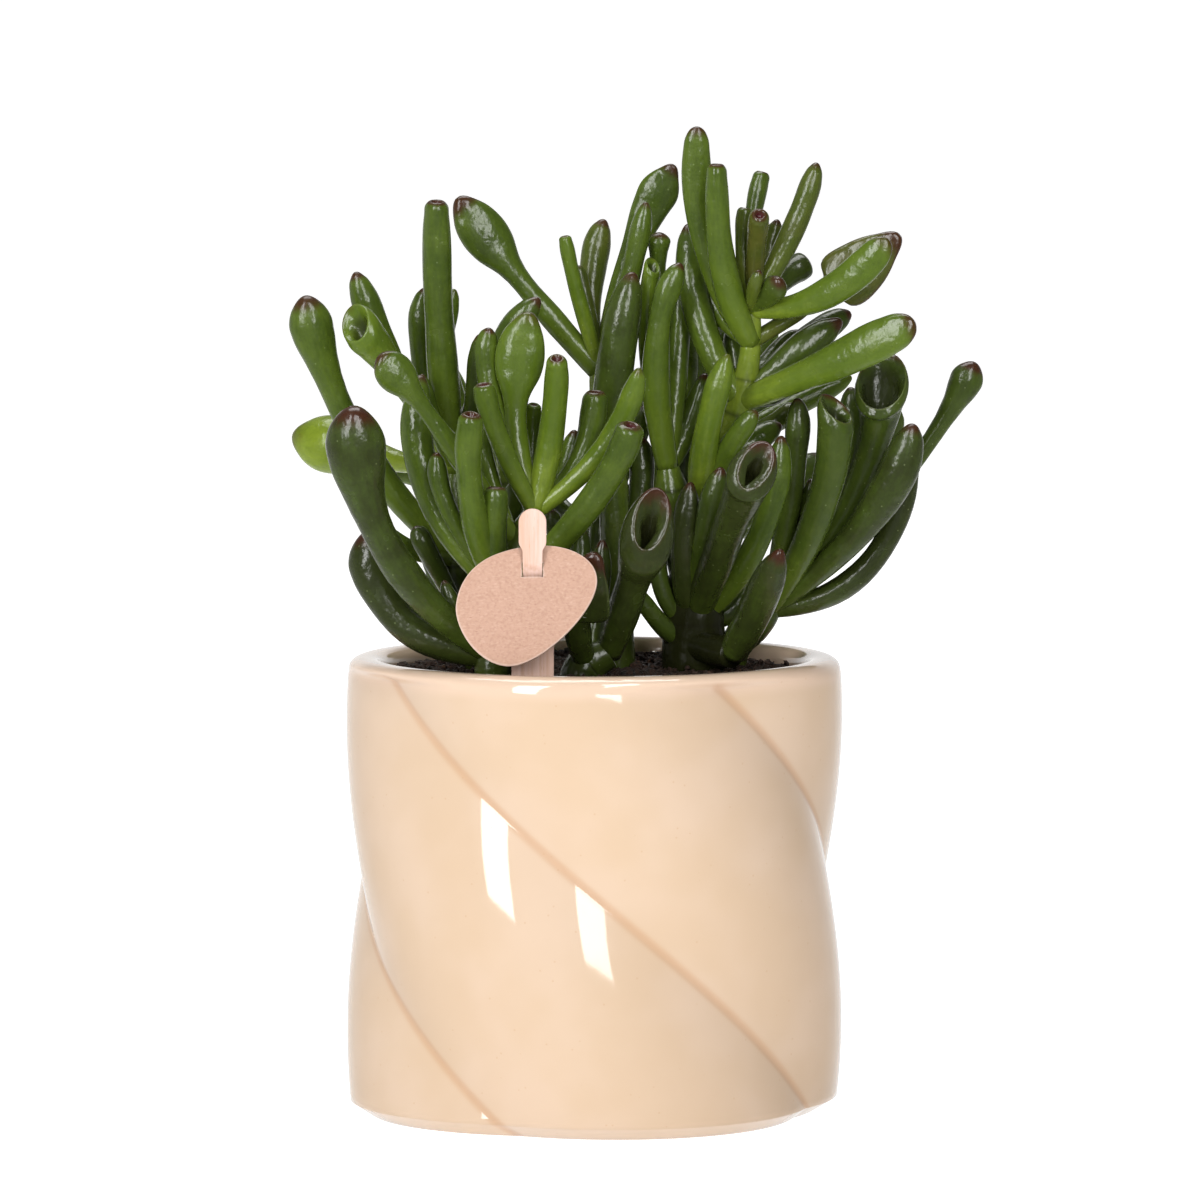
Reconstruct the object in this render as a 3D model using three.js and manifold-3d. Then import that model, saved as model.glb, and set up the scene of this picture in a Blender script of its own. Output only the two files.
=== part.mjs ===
// Trumpet jade (Crassula ovata 'Gollum') growing in a twisted, glazed ceramic pot,
// with a wooden pick that carries a blank card tag.
//
// Units are millimetres, +Z is up and -Y is the front. The origin is the centre of the pot's
// flat underside. Every leafy stem is one solid: its leaves are joined to it at their roots.

import * as THREE from 'three';
import Module from 'manifold-3d';
import { mergeVertices } from 'three/addons/utils/BufferGeometryUtils.js';

const wasm = await Module();
wasm.setup();

// ---------------------------------------------------------------- driving dimensions

const TURN = 2 * Math.PI;
const GAP = 0.35; // clear air between two pieces that meet

const POT_HEIGHT = 101;
const POT_RADIUS = 55;
const WALL = 9; // thickness of the wall at the rim
const FLOOR = 9; // thickness of the pot's floor
const LOBES = 4;
const LOBE_DEPTH = 4; // how deep the crease between two lobes lies
const TWIST = THREE.MathUtils.degToRad(1.31); // turn of the lobes for each millimetre of height
const CREASE_START = THREE.MathUtils.degToRad(-152.6); // angle of one crease at the rim
const CREASE_FADE = 2.6; // the creases run out within this height under the rim
const RIM_DROP = 4.6; // height of the rim's rounded section
const RIM_POWER = 2.6; // squareness of the rim's rounded section
const FOOT_RISE = 2.8; // height of the rounded lower edge
const FOOT_INSET = 4.2; // how far that edge draws in

const SOIL_LEVEL = POT_HEIGHT - 3.5;
const SOIL_RELIEF = 0.7;
const INNER_RADIUS = POT_RADIUS - WALL;
const SOIL_RADIUS = INNER_RADIUS - 0.5;
const SOIL_BOTTOM = FLOOR + GAP;

const PICK_X = -13.4;
const PICK_Y = -38; // its middle plane under the tag
const PICK_THICKNESS = 0.9;
const PICK_STEP = 1.9; // how far it bends forward where it passes through the tag
const PICK_TIP = 62; // height of its buried point
const PICK_TOP = 136.6;

const TAG_THICKNESS = 0.8;
const TAG_LEAN = THREE.MathUtils.degToRad(13); // its top leans back
const TAG_TURN = THREE.MathUtils.degToRad(-4); // and it faces slightly to the left
const SLIT_HEIGHT = 123.2; // height of the slit's middle
const SLIT_SIZE = [5, 3.4];

// ---------------------------------------------------------------- solids

// Makes a closed geometry from rings of points that all have the same length. Each end is
// closed by a fan round the ring's middle, or round the pole given for that end.
function loft(rings, startPole, endPole) {
  const sides = rings[0].length;
  const middle = (ring) => ring.reduce((sum, p) => sum.add(p), new THREE.Vector3())
    .divideScalar(sides);
  const points = [...rings.flat(), startPole ?? middle(rings[0]), endPole ?? middle(rings.at(-1))];
  const start = points.length - 2;
  const end = points.length - 1;
  const index = [];
  for (let i = 0; i < sides; i += 1) {
    const next = (i + 1) % sides;
    index.push(start, next, i);
    for (let r = 0; r < rings.length - 1; r += 1) {
      const a = r * sides;
      const b = a + sides;
      index.push(a + i, a + next, b + next, a + i, b + next, b + i);
    }
    const last = (rings.length - 1) * sides;
    index.push(end, last + i, last + next);
  }
  const geometry = new THREE.BufferGeometry().setFromPoints(points);
  geometry.setIndex(index);
  return geometry;
}

function toSolid(geometry) {
  const bare = geometry.clone();
  bare.deleteAttribute('normal');
  bare.deleteAttribute('uv');
  const merged = mergeVertices(bare, 1e-4);
  return new wasm.Manifold(new wasm.Mesh({
    numProp: 3,
    vertProperties: new Float32Array(merged.attributes.position.array),
    triVerts: new Uint32Array(merged.index.array),
  }));
}

function toGeometry(solid) {
  const { vertProperties, triVerts } = solid.getMesh();
  const geometry = new THREE.BufferGeometry();
  geometry.setAttribute('position', new THREE.BufferAttribute(vertProperties, 3));
  geometry.setIndex(new THREE.BufferAttribute(triVerts, 1));
  geometry.computeVertexNormals();
  return geometry;
}

function joined(geometries) {
  return geometries.map(toSolid).reduce((whole, piece) => whole.add(piece));
}

// ---------------------------------------------------------------- pot

// Radius of the pot's outside in the direction of angle `lobeAngle`, measured from a crease.
function lobeRadius(lobeAngle, z) {
  const bulge = Math.abs(Math.sin((lobeAngle * LOBES) / 2));
  const fade = THREE.MathUtils.smoothstep((POT_HEIGHT - z - 1) / CREASE_FADE, 0, 1);
  return POT_RADIUS - LOBE_DEPTH * (1 - bulge) * fade;
}

// How far the rounded foot draws the wall in at height z.
function footInset(z) {
  const rise = Math.min(z / FOOT_RISE, 1);
  return FOOT_INSET * (1 - Math.sqrt(1 - (1 - rise) ** 2));
}

// How far the rounded rim draws each face of the wall towards the wall's middle at height z.
function rimInset(z) {
  const drop = Math.min((POT_HEIGHT - z) / RIM_DROP, 1);
  return (WALL / 2) * (1 - (1 - (1 - drop) ** RIM_POWER) ** (1 / RIM_POWER));
}

// Ring of the pot's wall at height z. The outside turns with its lobes on the way down.
function potRing(z, radiusAt, twist = TWIST * (POT_HEIGHT - z)) {
  const steps = 10; // to each lobe
  const ring = [];
  for (let i = 0; i < LOBES * steps; i += 1) {
    const lobeAngle = (i / steps) * (TURN / LOBES);
    const angle = CREASE_START + twist + lobeAngle;
    const radius = radiusAt(lobeAngle, z);
    ring.push(new THREE.Vector3(radius * Math.cos(angle), radius * Math.sin(angle), z));
  }
  return ring;
}

function makePot() {
  const outer = (lobeAngle, z) => lobeRadius(lobeAngle, z) - footInset(z) - rimInset(z);
  const innerRing = (z) => potRing(z, () => INNER_RADIUS + rimInset(z), 0);
  const footHeights = [0, 0.5, 1.4, FOOT_RISE];
  const wallSteps = 12;
  const wallTop = POT_HEIGHT - 1 - CREASE_FADE;
  const wallHeights = [];
  for (let i = 1; i <= wallSteps; i += 1) {
    wallHeights.push(THREE.MathUtils.lerp(FOOT_RISE, wallTop, i / wallSteps));
  }
  const rimHeights = [2, 1, 0.4].map((drop) => POT_HEIGHT - drop);
  const rings = [
    ...footHeights.map((z) => potRing(z, outer)),
    ...wallHeights.map((z) => potRing(z, outer)),
    ...rimHeights.map((z) => potRing(z, outer)),
    potRing(POT_HEIGHT, () => POT_RADIUS - WALL / 2),
    ...rimHeights.toReversed().map(innerRing),
    innerRing(POT_HEIGHT - RIM_DROP),
    innerRing(FLOOR),
  ];
  return loft(rings, new THREE.Vector3(0, 0, 0), new THREE.Vector3(0, 0, FLOOR));
}

// ---------------------------------------------------------------- pick and tag

// Half the pick's width at height z: a round head, a waist at the slit, then a broad blade
// that ends in a buried point.
function pickHalfWidth(z) {
  const headRadius = 3;
  const waist = 2.15;
  const blade = 4.6;
  const headMiddle = PICK_TOP - headRadius;
  if (z > headMiddle) {
    return Math.max(Math.sqrt(headRadius ** 2 - (z - headMiddle) ** 2), 0.5);
  }
  if (z > SLIT_HEIGHT) {
    const t = THREE.MathUtils.smoothstep(z, SLIT_HEIGHT + 4, SLIT_HEIGHT + 6);
    return THREE.MathUtils.lerp(waist, headRadius, t);
  }
  if (z > 82) {
    const t = THREE.MathUtils.smoothstep(z, SLIT_HEIGHT - 8, SLIT_HEIGHT - 3);
    return THREE.MathUtils.lerp(blade, waist, t);
  }
  return THREE.MathUtils.mapLinear(Math.max(z, PICK_TIP), PICK_TIP, 82, 0.8, blade);
}

// The pick bends forward by PICK_STEP across the slit, so that its head lies in front of the tag.
function pickPlane(z) {
  return PICK_Y - PICK_STEP * THREE.MathUtils.smoothstep(z, SLIT_HEIGHT - 1.9, SLIT_HEIGHT + 1.9);
}

function makePick(clearance) {
  const heights = [
    PICK_TIP - clearance, 82, 100, 114.5, 117, 119, 121.3, 122.2, 123.2, 124.2, 125.1, 127.2, 128.2,
    129.2, 133.5, 135, 136, 136.5, PICK_TOP,
  ];
  const halfThickness = PICK_THICKNESS / 2 + clearance;
  const ring = (z) => {
    const half = pickHalfWidth(z) + clearance;
    const y = pickPlane(z);
    const corners = [[-half, -1], [half, -1], [half, 1], [-half, 1]];
    return corners.map(([x, side]) => new THREE.Vector3(PICK_X + x, y + side * halfThickness, z));
  };
  return loft(heights.map(ring));
}

// The tag's outline from its top left, anticlockwise, round the slit's middle: a rounded
// pebble, fuller at the right shoulder and drawn to a soft point at the lower left.
function makeTag() {
  const outline = new THREE.Shape();
  outline.moveTo(-8.4, 3.2);
  outline.bezierCurveTo(-13.2, 1.2, -16.2, -2.8, -16.6, -8.2);
  outline.bezierCurveTo(-16.6, -13.5, -11.5, -20.9, -5, -21.2);
  outline.bezierCurveTo(1.8, -21.4, 13.9, -9.6, 14.1, -2.6);
  outline.bezierCurveTo(14.2, 2.4, 8.6, 5, 3.4, 5.3);
  outline.bezierCurveTo(-0.6, 5.5, -4.8, 4.7, -8.4, 3.2);
  const slit = new THREE.Path();
  const [halfWide, halfTall] = SLIT_SIZE.map((size) => size / 2);
  slit.moveTo(-halfWide, -halfTall);
  slit.lineTo(halfWide, -halfTall);
  slit.lineTo(halfWide, halfTall);
  slit.lineTo(-halfWide, halfTall);
  slit.closePath();
  outline.holes.push(slit);
  const geometry = new THREE.ExtrudeGeometry(outline, {
    depth: TAG_THICKNESS,
    bevelEnabled: false,
    curveSegments: 7,
  });
  geometry.translate(0, 0, -TAG_THICKNESS / 2);
  return geometry;
}

// ---------------------------------------------------------------- leaves

// A leaf is a section carried along a curve through its root, its middle and its tip. Each
// station of a leaf's kind is [t, k, h, f, flat]: it lies at t times the leaf's length plus k
// half head widths, and its half width runs from neck (h = 0) to head (h = 1), times f; its
// half thickness is flat times that. The last station, with f = 0, is the pole that closes the end.
const KINDS = {
  // Blunt rod whose end has a shallow dimple.
  finger: [
    [0, 0, 0, 0.72, 1], [0.3, 0, 0, 1, 1], [0.68, 0, 0.55, 1, 1], [1, -1.1, 1, 1, 1],
    [1, -0.3, 1, 0.88, 1], [1, 0, 1, 0.58, 1], [1, -0.3, 1, 0, 1],
  ],
  // Round-headed club.
  club: [
    [0, 0, 0, 0.8, 1], [0.34, 0, 0, 1, 1], [1, -3.1, 0.35, 1, 0.93], [1, -1.9, 0.93, 1, 0.84],
    [1, -1.2, 1, 1, 0.8], [1, -0.5, 1, 0.7, 0.78], [1, 0, 1, 0, 1],
  ],
  // Flattened blade with a soft point.
  spoon: [
    [0, 0, 0, 0.9, 0.95], [0.28, 0, 0, 1, 0.85], [0.54, 0, 0.25, 1, 0.68], [1, -2.8, 0.9, 1, 0.54],
    [1, -1.6, 1, 1, 0.5], [1, -0.7, 1, 0.62, 0.48], [1, 0, 1, 0, 1],
  ],
  // Slim stalk with a short, broad, pointed head.
  flame: [
    [0, 0, 0, 0.85, 1], [0.3, 0, 0, 1, 1], [1, -3.6, 0.12, 1, 0.9], [1, -2.5, 0.88, 1, 0.66],
    [1, -1.7, 1, 1, 0.62], [1, -0.7, 1, 0.74, 0.6], [1, 0, 1, 0, 1],
  ],
  // Plain leaf that narrows to its tip.
  taper: [
    [0, 0, 0, 0.75, 1], [0.3, 0, 0, 1, 1], [0.65, 0, 1, 1, 0.94], [1, -1.7, 1, 0.9, 0.88],
    [1, -0.6, 1, 0.56, 0.88], [1, 0, 1, 0, 1],
  ],
  // Long broad blade with a blunt end.
  paddle: [
    [0, 0, 0, 0.85, 0.95], [0.3, 0, 0.2, 1, 0.86], [0.62, 0, 0.85, 1, 0.74], [1, -1.7, 1, 1, 0.68],
    [1, -0.7, 1, 0.82, 0.66], [1, -0.15, 1, 0.44, 0.7], [1, 0, 1, 0, 1],
  ],
  // Tube whose slanted mouth is rolled in at the lip.
  cup: [
    [0, 0, 0, 0.8, 1], [0.34, 0, 0, 1, 1], [0.64, 0, 0.35, 1, 1], [1, -1.5, 0.9, 1, 0.95],
    [1, -0.35, 1, 1, 0.95], [1, 0, 1, 0.86, 0.95], [1, -0.2, 1, 0.66, 0.95],
    [1, -1.1, 1, 0.4, 0.95], [1, -1.6, 1, 0, 1],
  ],
  // Tube with thick lips, whose mouth is a drop that narrows down its front.
  split: [
    [0, 0, 0, 0.8, 1], [0.34, 0, 0, 1, 1], [0.62, 0, 0.15, 1, 1], [1, -1.7, 0.8, 1, 0.95],
    [1, -0.4, 1, 1, 0.95], [1, 0, 1, 0.78, 1.02], [1, -0.12, 1, 0.48, 1.36],
    [1, -0.7, 1, 0.34, 1.5], [1, -2.2, 1, 0, 1],
  ],
  // Tube that flares to a wide open mouth.
  trumpet: [
    [0, 0, 0, 0.8, 1], [0.4, 0, 0, 1, 1], [0.7, 0, 0.2, 1, 1], [1, -1, 0.7, 1, 1],
    [1, -0.12, 1, 1, 1], [1, 0, 1, 0.93, 1], [1, -0.14, 1, 0.82, 1],
    [1, -0.75, 1, 0.52, 1], [1, -1.15, 1, 0, 1],
  ],
};
const MOUTH_FROM = 3; // first station that takes the slant of a mouth
const LIP = 5; // station at a mouth's lip
const PINCH = 0.55; // how far the lower end of a split mouth is drawn together

// Point and direction on the curve that starts at a, passes b half way and ends at c.
function curveAt([a, b, c], t) {
  const knee = b.clone().multiplyScalar(2).addScaledVector(a, -0.5).addScaledVector(c, -0.5);
  const curve = new THREE.QuadraticBezierCurve3(a, knee, c);
  return { point: curve.getPoint(t), along: curve.getTangent(t), length: curve.getLength() };
}

// Makes one leaf. `face` is the way its broad side looks, and `mouth` the way that the mouth
// of a hollow leaf looks.
function makeLeaf({ kind, path, neck, head, face, mouth }) {
  const stations = KINDS[kind];
  let sides = 5;
  if (head > 5) sides = 6;
  if (head > 8) sides = 8;
  const { length } = curveAt(path, 1);
  const half = head / 2;
  const frameAt = ([t, k, h, f, flat], order) => {
    const { point, along } = curveAt(path, Math.max(t + (k * half) / length, 0));
    const front = face.clone().addScaledVector(along, -face.dot(along)).normalize();
    const side = new THREE.Vector3().crossVectors(front, along);
    const wide = ((neck + (head - neck) * h) / 2) * f;
    const slant = mouth && order >= MOUTH_FROM ? Math.min(order - MOUTH_FROM + 1, 2) / 2 : 0;
    const pinch = kind === 'split' && order > LIP ? PINCH : 0;
    return { point, along, front, side, wide, thick: wide * flat, slant, pinch };
  };
  const frames = stations.map(frameAt);
  const rings = frames.slice(0, -1).map((frame) => {
    const ring = [];
    for (let i = 0; i < sides; i += 1) {
      const angle = (i / sides) * TURN;
      const narrowed = 1 - frame.pinch * Math.max(Math.sin(angle), 0);
      const out = frame.side.clone().multiplyScalar(frame.wide * Math.cos(angle) * narrowed)
        .addScaledVector(frame.front, frame.thick * Math.sin(angle));
      if (frame.slant > 0) {
        const slide = -out.dot(mouth) / Math.max(frame.along.dot(mouth), 0.3);
        out.addScaledVector(frame.along, slide * frame.slant);
      }
      ring.push(frame.point.clone().add(out));
    }
    return ring;
  });
  return loft(rings, null, frames.at(-1).point);
}

// Makes a stem through points [x, y, z, radius]. A clearance widens it, and lowers its foot.
function makeStem(points, clearance = 0) {
  const sides = 7;
  const spine = points.map(([x, y, z]) => new THREE.Vector3(x, y, z));
  const curve = new THREE.CatmullRomCurve3(spine, false, 'centripetal');
  const rings = points.map(([, , , radius], i) => {
    const along = curve.getTangent(i / (points.length - 1));
    const centre = spine[i].clone().addScaledVector(along, i === 0 ? -clearance : 0);
    const side = new THREE.Vector3(0, 1, 0).cross(along).normalize();
    const back = new THREE.Vector3().crossVectors(along, side);
    const ring = [];
    for (let s = 0; s < sides; s += 1) {
      const angle = (s / sides) * TURN;
      ring.push(centre.clone()
        .addScaledVector(side, (radius + clearance) * Math.cos(angle))
        .addScaledVector(back, (radius + clearance) * Math.sin(angle)));
    }
    return ring;
  });
  return loft(rings);
}

const FRONT = [0, -1, 0.25];
const BACK = [0, 1, 0.3];

// Each leafy stem: its stems as lists of points [x, y, z, radius], and its leaves as
// [kind, root, middle, tip, neck width, head width, mouth]. The root is the number of the stem
// point that the leaf grows from, counted through all of the shoot's stems.
const SHOOTS = {
  shoot_front_left: {
    colour: 0x3f6b22,
    face: FRONT,
    stems: [[
      [-22, -19, 84, 4.1], [-22, -19.5, 103, 4.1], [-20, -19, 116, 3.6], [-17, -18, 127, 3],
      [-13, -17, 134, 2.4], [-12.5, -17, 136, 1.2],
    ]],
    leaves: [
      ['club', 1, [-45.3, -31, 127.6], [-51.8, -40, 158.9], 7.3, 13],
      ['club', 1, [-42.5, -17, 110.4], [-49.6, -15, 130], 7.4, 9.8],
      ['finger', 2, [-26.5, -28, 135.8], [-26.7, -36, 156.9], 6.2, 5.6],
      ['taper', 2, [-36.4, -15, 139], [-37.9, -11, 164], 6, 6.8],
      ['taper', 2, [-31.5, -20.5, 134], [-34.4, -21, 147.6], 3.6, 4.2],
      ['finger', 2, [-21.5, -25, 127.8], [-21.3, -27, 140.4], 4.5, 5.6],
      ['finger', 2, [-0.9, -26, 136.7], [8, -32, 154.3], 6, 6.6],
      ['flame', 3, [-34.2, -24, 153.4], [-47, -28, 169.2], 4.8, 8.6],
      ['taper', 3, [-23.3, -13, 143.4], [-24.4, -12, 153.9], 3.4, 3.6],
      ['taper', 4, [2.7, -18, 149.3], [9.8, -23, 166.2], 4.4, 5],
      ['finger', 4, [-3.4, -11, 145], [0.3, -11, 160.3], 4.6, 5.7],
      ['taper', 4, [-7, -6.5, 141.5], [-4.4, -4.5, 151.5], 4, 5],
      ['finger', 4, [-9.3, -17.5, 152.5], [-8.2, -24.5, 168.4], 5.8, 4.9],
      ['finger', 4, [-20.8, -21, 150.6], [-24.2, -24, 162.7], 4.6, 4.8],
      ['flame', 4, [-17.3, -13, 155.5], [-14, -14, 178], 5.2, 10.6],
      ['taper', 4, [-22.4, -11, 158.8], [-22.9, -12, 174.3], 4.6, 5],
      ['taper', 4, [-21.2, -4, 161], [-12, -3, 180.4], 4.6, 6.6],
      ['finger', 4, [-13.7, -8, 147.3], [-13.3, -7, 157.3], 3.2, 3.4],
      ['taper', 1, [-29, -22, 111], [-33, -21, 119.5], 3.4, 3.6],
    ],
  },
  shoot_left: {
    colour: 0x4a7428,
    face: FRONT,
    stems: [[
      [-24, 6, 84, 3.6], [-26, 5, 104, 3.6], [-30, 4, 122, 3.2], [-31, 6, 141, 2.6],
      [-31, 6, 144, 1.4],
    ]],
    leaves: [
      ['club', 2, [-52.3, 0, 149], [-63.7, -6, 181.2], 6.2, 9.6],
      ['club', 3, [-46.3, 26, 143], [-68.1, 36, 147.8], 4, 13.2],
      ['cup', 3, [-41, -3, 159.7], [-52.6, -9, 175.3], 4.3, 8.4, [-0.62, -0.72, 0.3]],
      ['taper', 3, [-44.6, 6, 165], [-52.9, 4, 186], 3.7, 6.2],
      ['finger', 3, [-34.1, 1, 172.2], [-34.7, -5, 201.9], 7, 5.6],
      ['taper', 3, [-38, 12, 163.5], [-37.6, 12, 182.1], 4.6, 5],
      ['taper', 3, [-35.2, -1, 152.4], [-38.1, -4, 163.8], 3.2, 3.6],
      ['taper', 3, [-34, 11, 163.6], [-31, 10, 181.9], 3.4, 4.4],
      ['taper', 3, [-26.6, 2, 156.8], [-25.4, 0, 172.4], 3.8, 5],
      ['taper', 3, [-28.5, 9, 151.5], [-25.5, 10, 161], 3.6, 3.8],
      ['taper', 2, [-43, -3, 126], [-54.1, -7, 136.2], 4, 4.6],
      ['taper', 1, [-34.6, 2, 118], [-38.8, 2, 133.5], 3.8, 4.2],
      ['taper', 1, [-34.8, -6, 121], [-39.5, -8, 130.4], 4, 4.6],
    ],
  },
  shoot_centre: {
    colour: 0x456e2a,
    face: FRONT,
    stems: [[
      [6, 10, 84, 3.6], [5, 10, 110, 3.5], [4, 9, 141, 3.1], [1.4, 11, 163.2, 2.4],
      [0.8, 11, 169, 1.2],
    ]],
    leaves: [
      ['taper', 2, [4.4, 2, 163.2], [8.6, 0, 186.2], 9.2, 8.2],
      ['flame', 3, [-14.4, 14, 181.2], [-30.5, 13, 202.2], 5.5, 10.2],
      ['finger', 3, [-3.7, 8, 181], [-6.6, 6, 193.8], 3.5, 3],
      ['taper', 3, [-1.4, 13, 178], [-3.8, 13, 187], 2.8, 3],
      ['taper', 3, [-0.6, 19, 181.8], [2.3, 20, 197], 3.6, 6.1],
      ['spoon', 3, [7.9, 17, 188.6], [17.8, 15, 209.3], 4.6, 8.8],
      ['taper', 3, [7.3, 8, 182.6], [11.5, 6, 201.4], 4.4, 4.6],
      ['taper', 2, [8.5, 13, 147], [11.5, 16, 156], 4.6, 5],
      ['taper', 1, [9.7, 12, 131], [10.4, 12, 149], 5.2, 5.6],
      ['taper', 1, [-5, 6, 122], [-9.8, 4, 133.5], 4.6, 4.8],
    ],
  },
  shoot_right: {
    colour: 0x41651f,
    face: FRONT,
    stems: [
      [
        [22.4, 6, 84, 7.2], [22.2, 5, 108, 6.8], [23.5, 4, 133, 3.8], [32.5, 3, 157.5, 2.9],
        [34.6, 2, 170.5, 2.2], [34.8, 1, 178, 1.6], [34.8, 1, 180, 0.8],
      ],
      [[23, 5, 105, 3.6], [19, 6, 124, 3.2], [16.4, 6, 141.8, 2.8], [16, 6, 145, 1.4]],
      [[20, 4, 103.5, 3.4], [30.5, -7, 102.2, 3.4]],
    ],
    leaves: [
      ['finger', 4, [28.5, -5, 187], [26.9, -9, 210.2], 6.6, 4.6],
      ['paddle', 4, [24.6, 1, 192.2], [22.7, -2, 218.3], 5.4, 6],
      ['taper', 3, [23.8, 5.5, 174.1], [20.8, 12, 196.3], 6.4, 6.6],
      ['taper', 4, [26.8, 9, 179], [25.6, 11, 190.5], 4.8, 5.2],
      ['taper', 3, [31.5, 8, 165.5], [30.5, 11, 175], 4.8, 5.2],
      ['finger', 5, [34.6, 6, 192.8], [37.3, 9, 207.9], 3.4, 4],
      ['finger', 5, [35.6, -1.5, 190.2], [36.3, -9, 199.2], 4.2, 4.6],
      ['finger', 5, [32.9, 1.5, 189.8], [33.4, 2, 200.2], 3.2, 3.6],
      ['taper', 5, [37.9, 12, 187.2], [40.8, 14, 197.2], 4, 4.6],
      ['taper', 5, [43.8, 3, 195], [49.2, 3, 210.2], 4.8, 5],
      ['finger', 5, [41.5, 9, 183.8], [47.4, 13, 187.8], 4.8, 6.3],
      ['club', 5, [38.4, -5, 181.4], [40.8, -10, 185], 4.6, 5.6],
      ['taper', 5, [35, -6.5, 182.3], [36.4, -9, 187], 3, 3.2],
      ['paddle', 5, [50.4, -8, 181.4], [64.4, -14, 194], 4.8, 7.4],
      ['spoon', 4, [51.2, 6, 181.2], [67.7, 4, 194.2], 3.8, 12.6],
      ['taper', 3, [45.7, 11, 169.2], [57.2, 14, 176.4], 5.4, 6.4],
      ['taper', 3, [43, 3.5, 166.4], [54.8, 3.5, 175.4], 5.8, 7.6],
      ['paddle', 3, [51.2, -9, 166], [70.2, -17, 176], 6, 8.8],
      ['taper', 3, [39.5, 10, 166], [46, 12, 172.5], 4.8, 5.2],
      ['taper', 3, [39, 8, 158.5], [45.5, 10, 162], 4.4, 4.8],
      ['taper', 2, [24.8, -5, 150.4], [29.5, -8, 168.5], 6.2, 5.6],
      ['taper', 2, [29.7, -4, 147], [35.9, -8, 155.8], 4.6, 5],
      ['taper', 9, [21.3, 10, 152.5], [24.8, 11, 163.1], 4.8, 5.4],
      ['split', 1, [29.3, -15, 129.6], [35.2, -27, 145], 7.6, 10, [0.05, -0.95, 0.24]],
      ['taper', 1, [24.4, -6, 126.1], [28, -11, 143.7], 5.6, 6],
      ['taper', 1, [36.1, -4, 127], [41.2, -7, 150.4], 5.8, 5.6],
      ['taper', 1, [15.5, 1, 114.5], [13.5, 1, 131.1], 4, 4],
      ['taper', 11, [14.5, 0, 108.4], [8.4, -3, 117], 4.4, 4.2],
      ['taper', 1, [30.6, 8, 110.5], [33.6, 9.5, 118], 4.6, 5],
      ['taper', 1, [20, -3, 122.5], [21.3, -6, 140.1], 6.2, 5.8],
      ['taper', 9, [13.7, -1, 169], [19.2, -3, 188.2], 6.4, 5.2],
      ['cup', 9, [12, 5, 168.5], [13, 4, 187.4], 4.2, 3.8, [0.5, -0.6, 0.6]],
      ['taper', 9, [18.4, 10, 164], [19.2, 13, 184], 4.6, 5],
      ['club', 9, [14.3, 11, 174.6], [14.6, 9, 194.4], 3.8, 5],
      ['taper', 9, [19.5, 14, 157], [20.5, 18, 172], 5.2, 5.8],
      ['taper', 2, [32.5, 11, 145], [41.8, 14, 151.4], 5, 5.8],
      ['taper', 8, [19.6, 9, 137], [20.5, 11, 152], 4.8, 5.2],
      ['taper', 12, [35.4, -15, 112.6], [40.8, -26, 126.6], 7.6, 7.8],
    ],
  },
  shoot_far_right: {
    colour: 0x39591f,
    face: FRONT,
    stems: [[
      [30.5, 15.5, 84, 3.6], [31, 14.5, 101, 3.6], [38.6, 12, 110.5, 3.3], [40.6, 12, 113, 1.6],
    ]],
    leaves: [
      ['taper', 2, [43.9, 5, 137.5], [45, 3, 158.1], 5, 5],
      ['taper', 2, [41.2, 11, 123.7], [41, 12, 134], 3.4, 3.6],
      ['cup', 2, [49.8, -2, 133.5], [53.2, -9, 156.4], 6.6, 8.2, [0.5, -0.5, 0.7]],
      ['trumpet', 2, [57.2, 8, 134.9], [63.7, 1, 162.1], 5, 11.8, [-0.15, -0.82, 0.55]],
      ['taper', 2, [60.8, 14, 138.9], [66.3, 12, 155.7], 4, 4.4],
      ['taper', 2, [60, 20, 133.9], [67.5, 21, 150.8], 3.8, 4],
      ['taper', 2, [60.6, 1, 131.2], [70.3, -5, 152.9], 6, 8.4],
      ['finger', 2, [60.4, 10, 119.6], [70, 8, 144.2], 5.6, 5.2],
      ['club', 2, [66.8, 17, 137], [84.8, 15, 165.4], 4.6, 7.4],
      ['taper', 2, [54, 11.5, 140], [56.8, 12, 160], 4.8, 5.2],
      ['taper', 2, [46.5, 7, 125], [48, 6, 140], 4.6, 4.8],
    ],
  },
  shoot_low_front: {
    colour: 0x35561f,
    face: FRONT,
    stems: [[[-2, -14, 84, 4.4], [-1.5, -14, 100.4, 4.4], [3.2, -14, 103, 3.4]]],
    leaves: [
      ['split', 2, [7.8, -22, 117], [12.4, -31, 133.6], 7.4, 10.8, [0.1, -0.95, 0.18]],
      ['spoon', 1, [-3.6, -26, 112.4], [0.8, -33, 126.4], 6, 12.4],
      ['taper', 1, [0.5, -8, 112.2], [1.8, -7, 127.4], 4.6, 4.8],
      ['taper', 1, [-3, -5, 114], [-2.8, -2, 130], 4.8, 5.4],
    ],
  },
  shoot_back_left: {
    colour: 0x3d6324,
    face: BACK,
    stems: [[
      [-16, 27, 84, 3.5], [-19, 28, 104, 3.4], [-20, 29, 125, 3], [-22, 30, 141, 2.4],
      [-22, 30, 144, 1.2],
    ]],
    leaves: [
      ['taper', 3, [-32, 34, 157], [-35.5, 38, 176.8], 5, 6],
      ['finger', 3, [-20.5, 36, 152], [-19.4, 40, 163.5], 4.6, 5],
      ['club', 2, [-28, 44, 128.4], [-34.5, 56, 135.6], 5, 8.6],
      ['cup', 1, [-20.5, 43, 114], [-25, 56, 124], 5.4, 8, [0, 0.8, 0.6]],
      ['club', 2, [-38.5, 41, 137.5], [-54, 48, 139], 4.8, 8.4],
      ['taper', 2, [-18.6, 23, 132], [-17.6, 19, 139], 5, 5.2],
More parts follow.
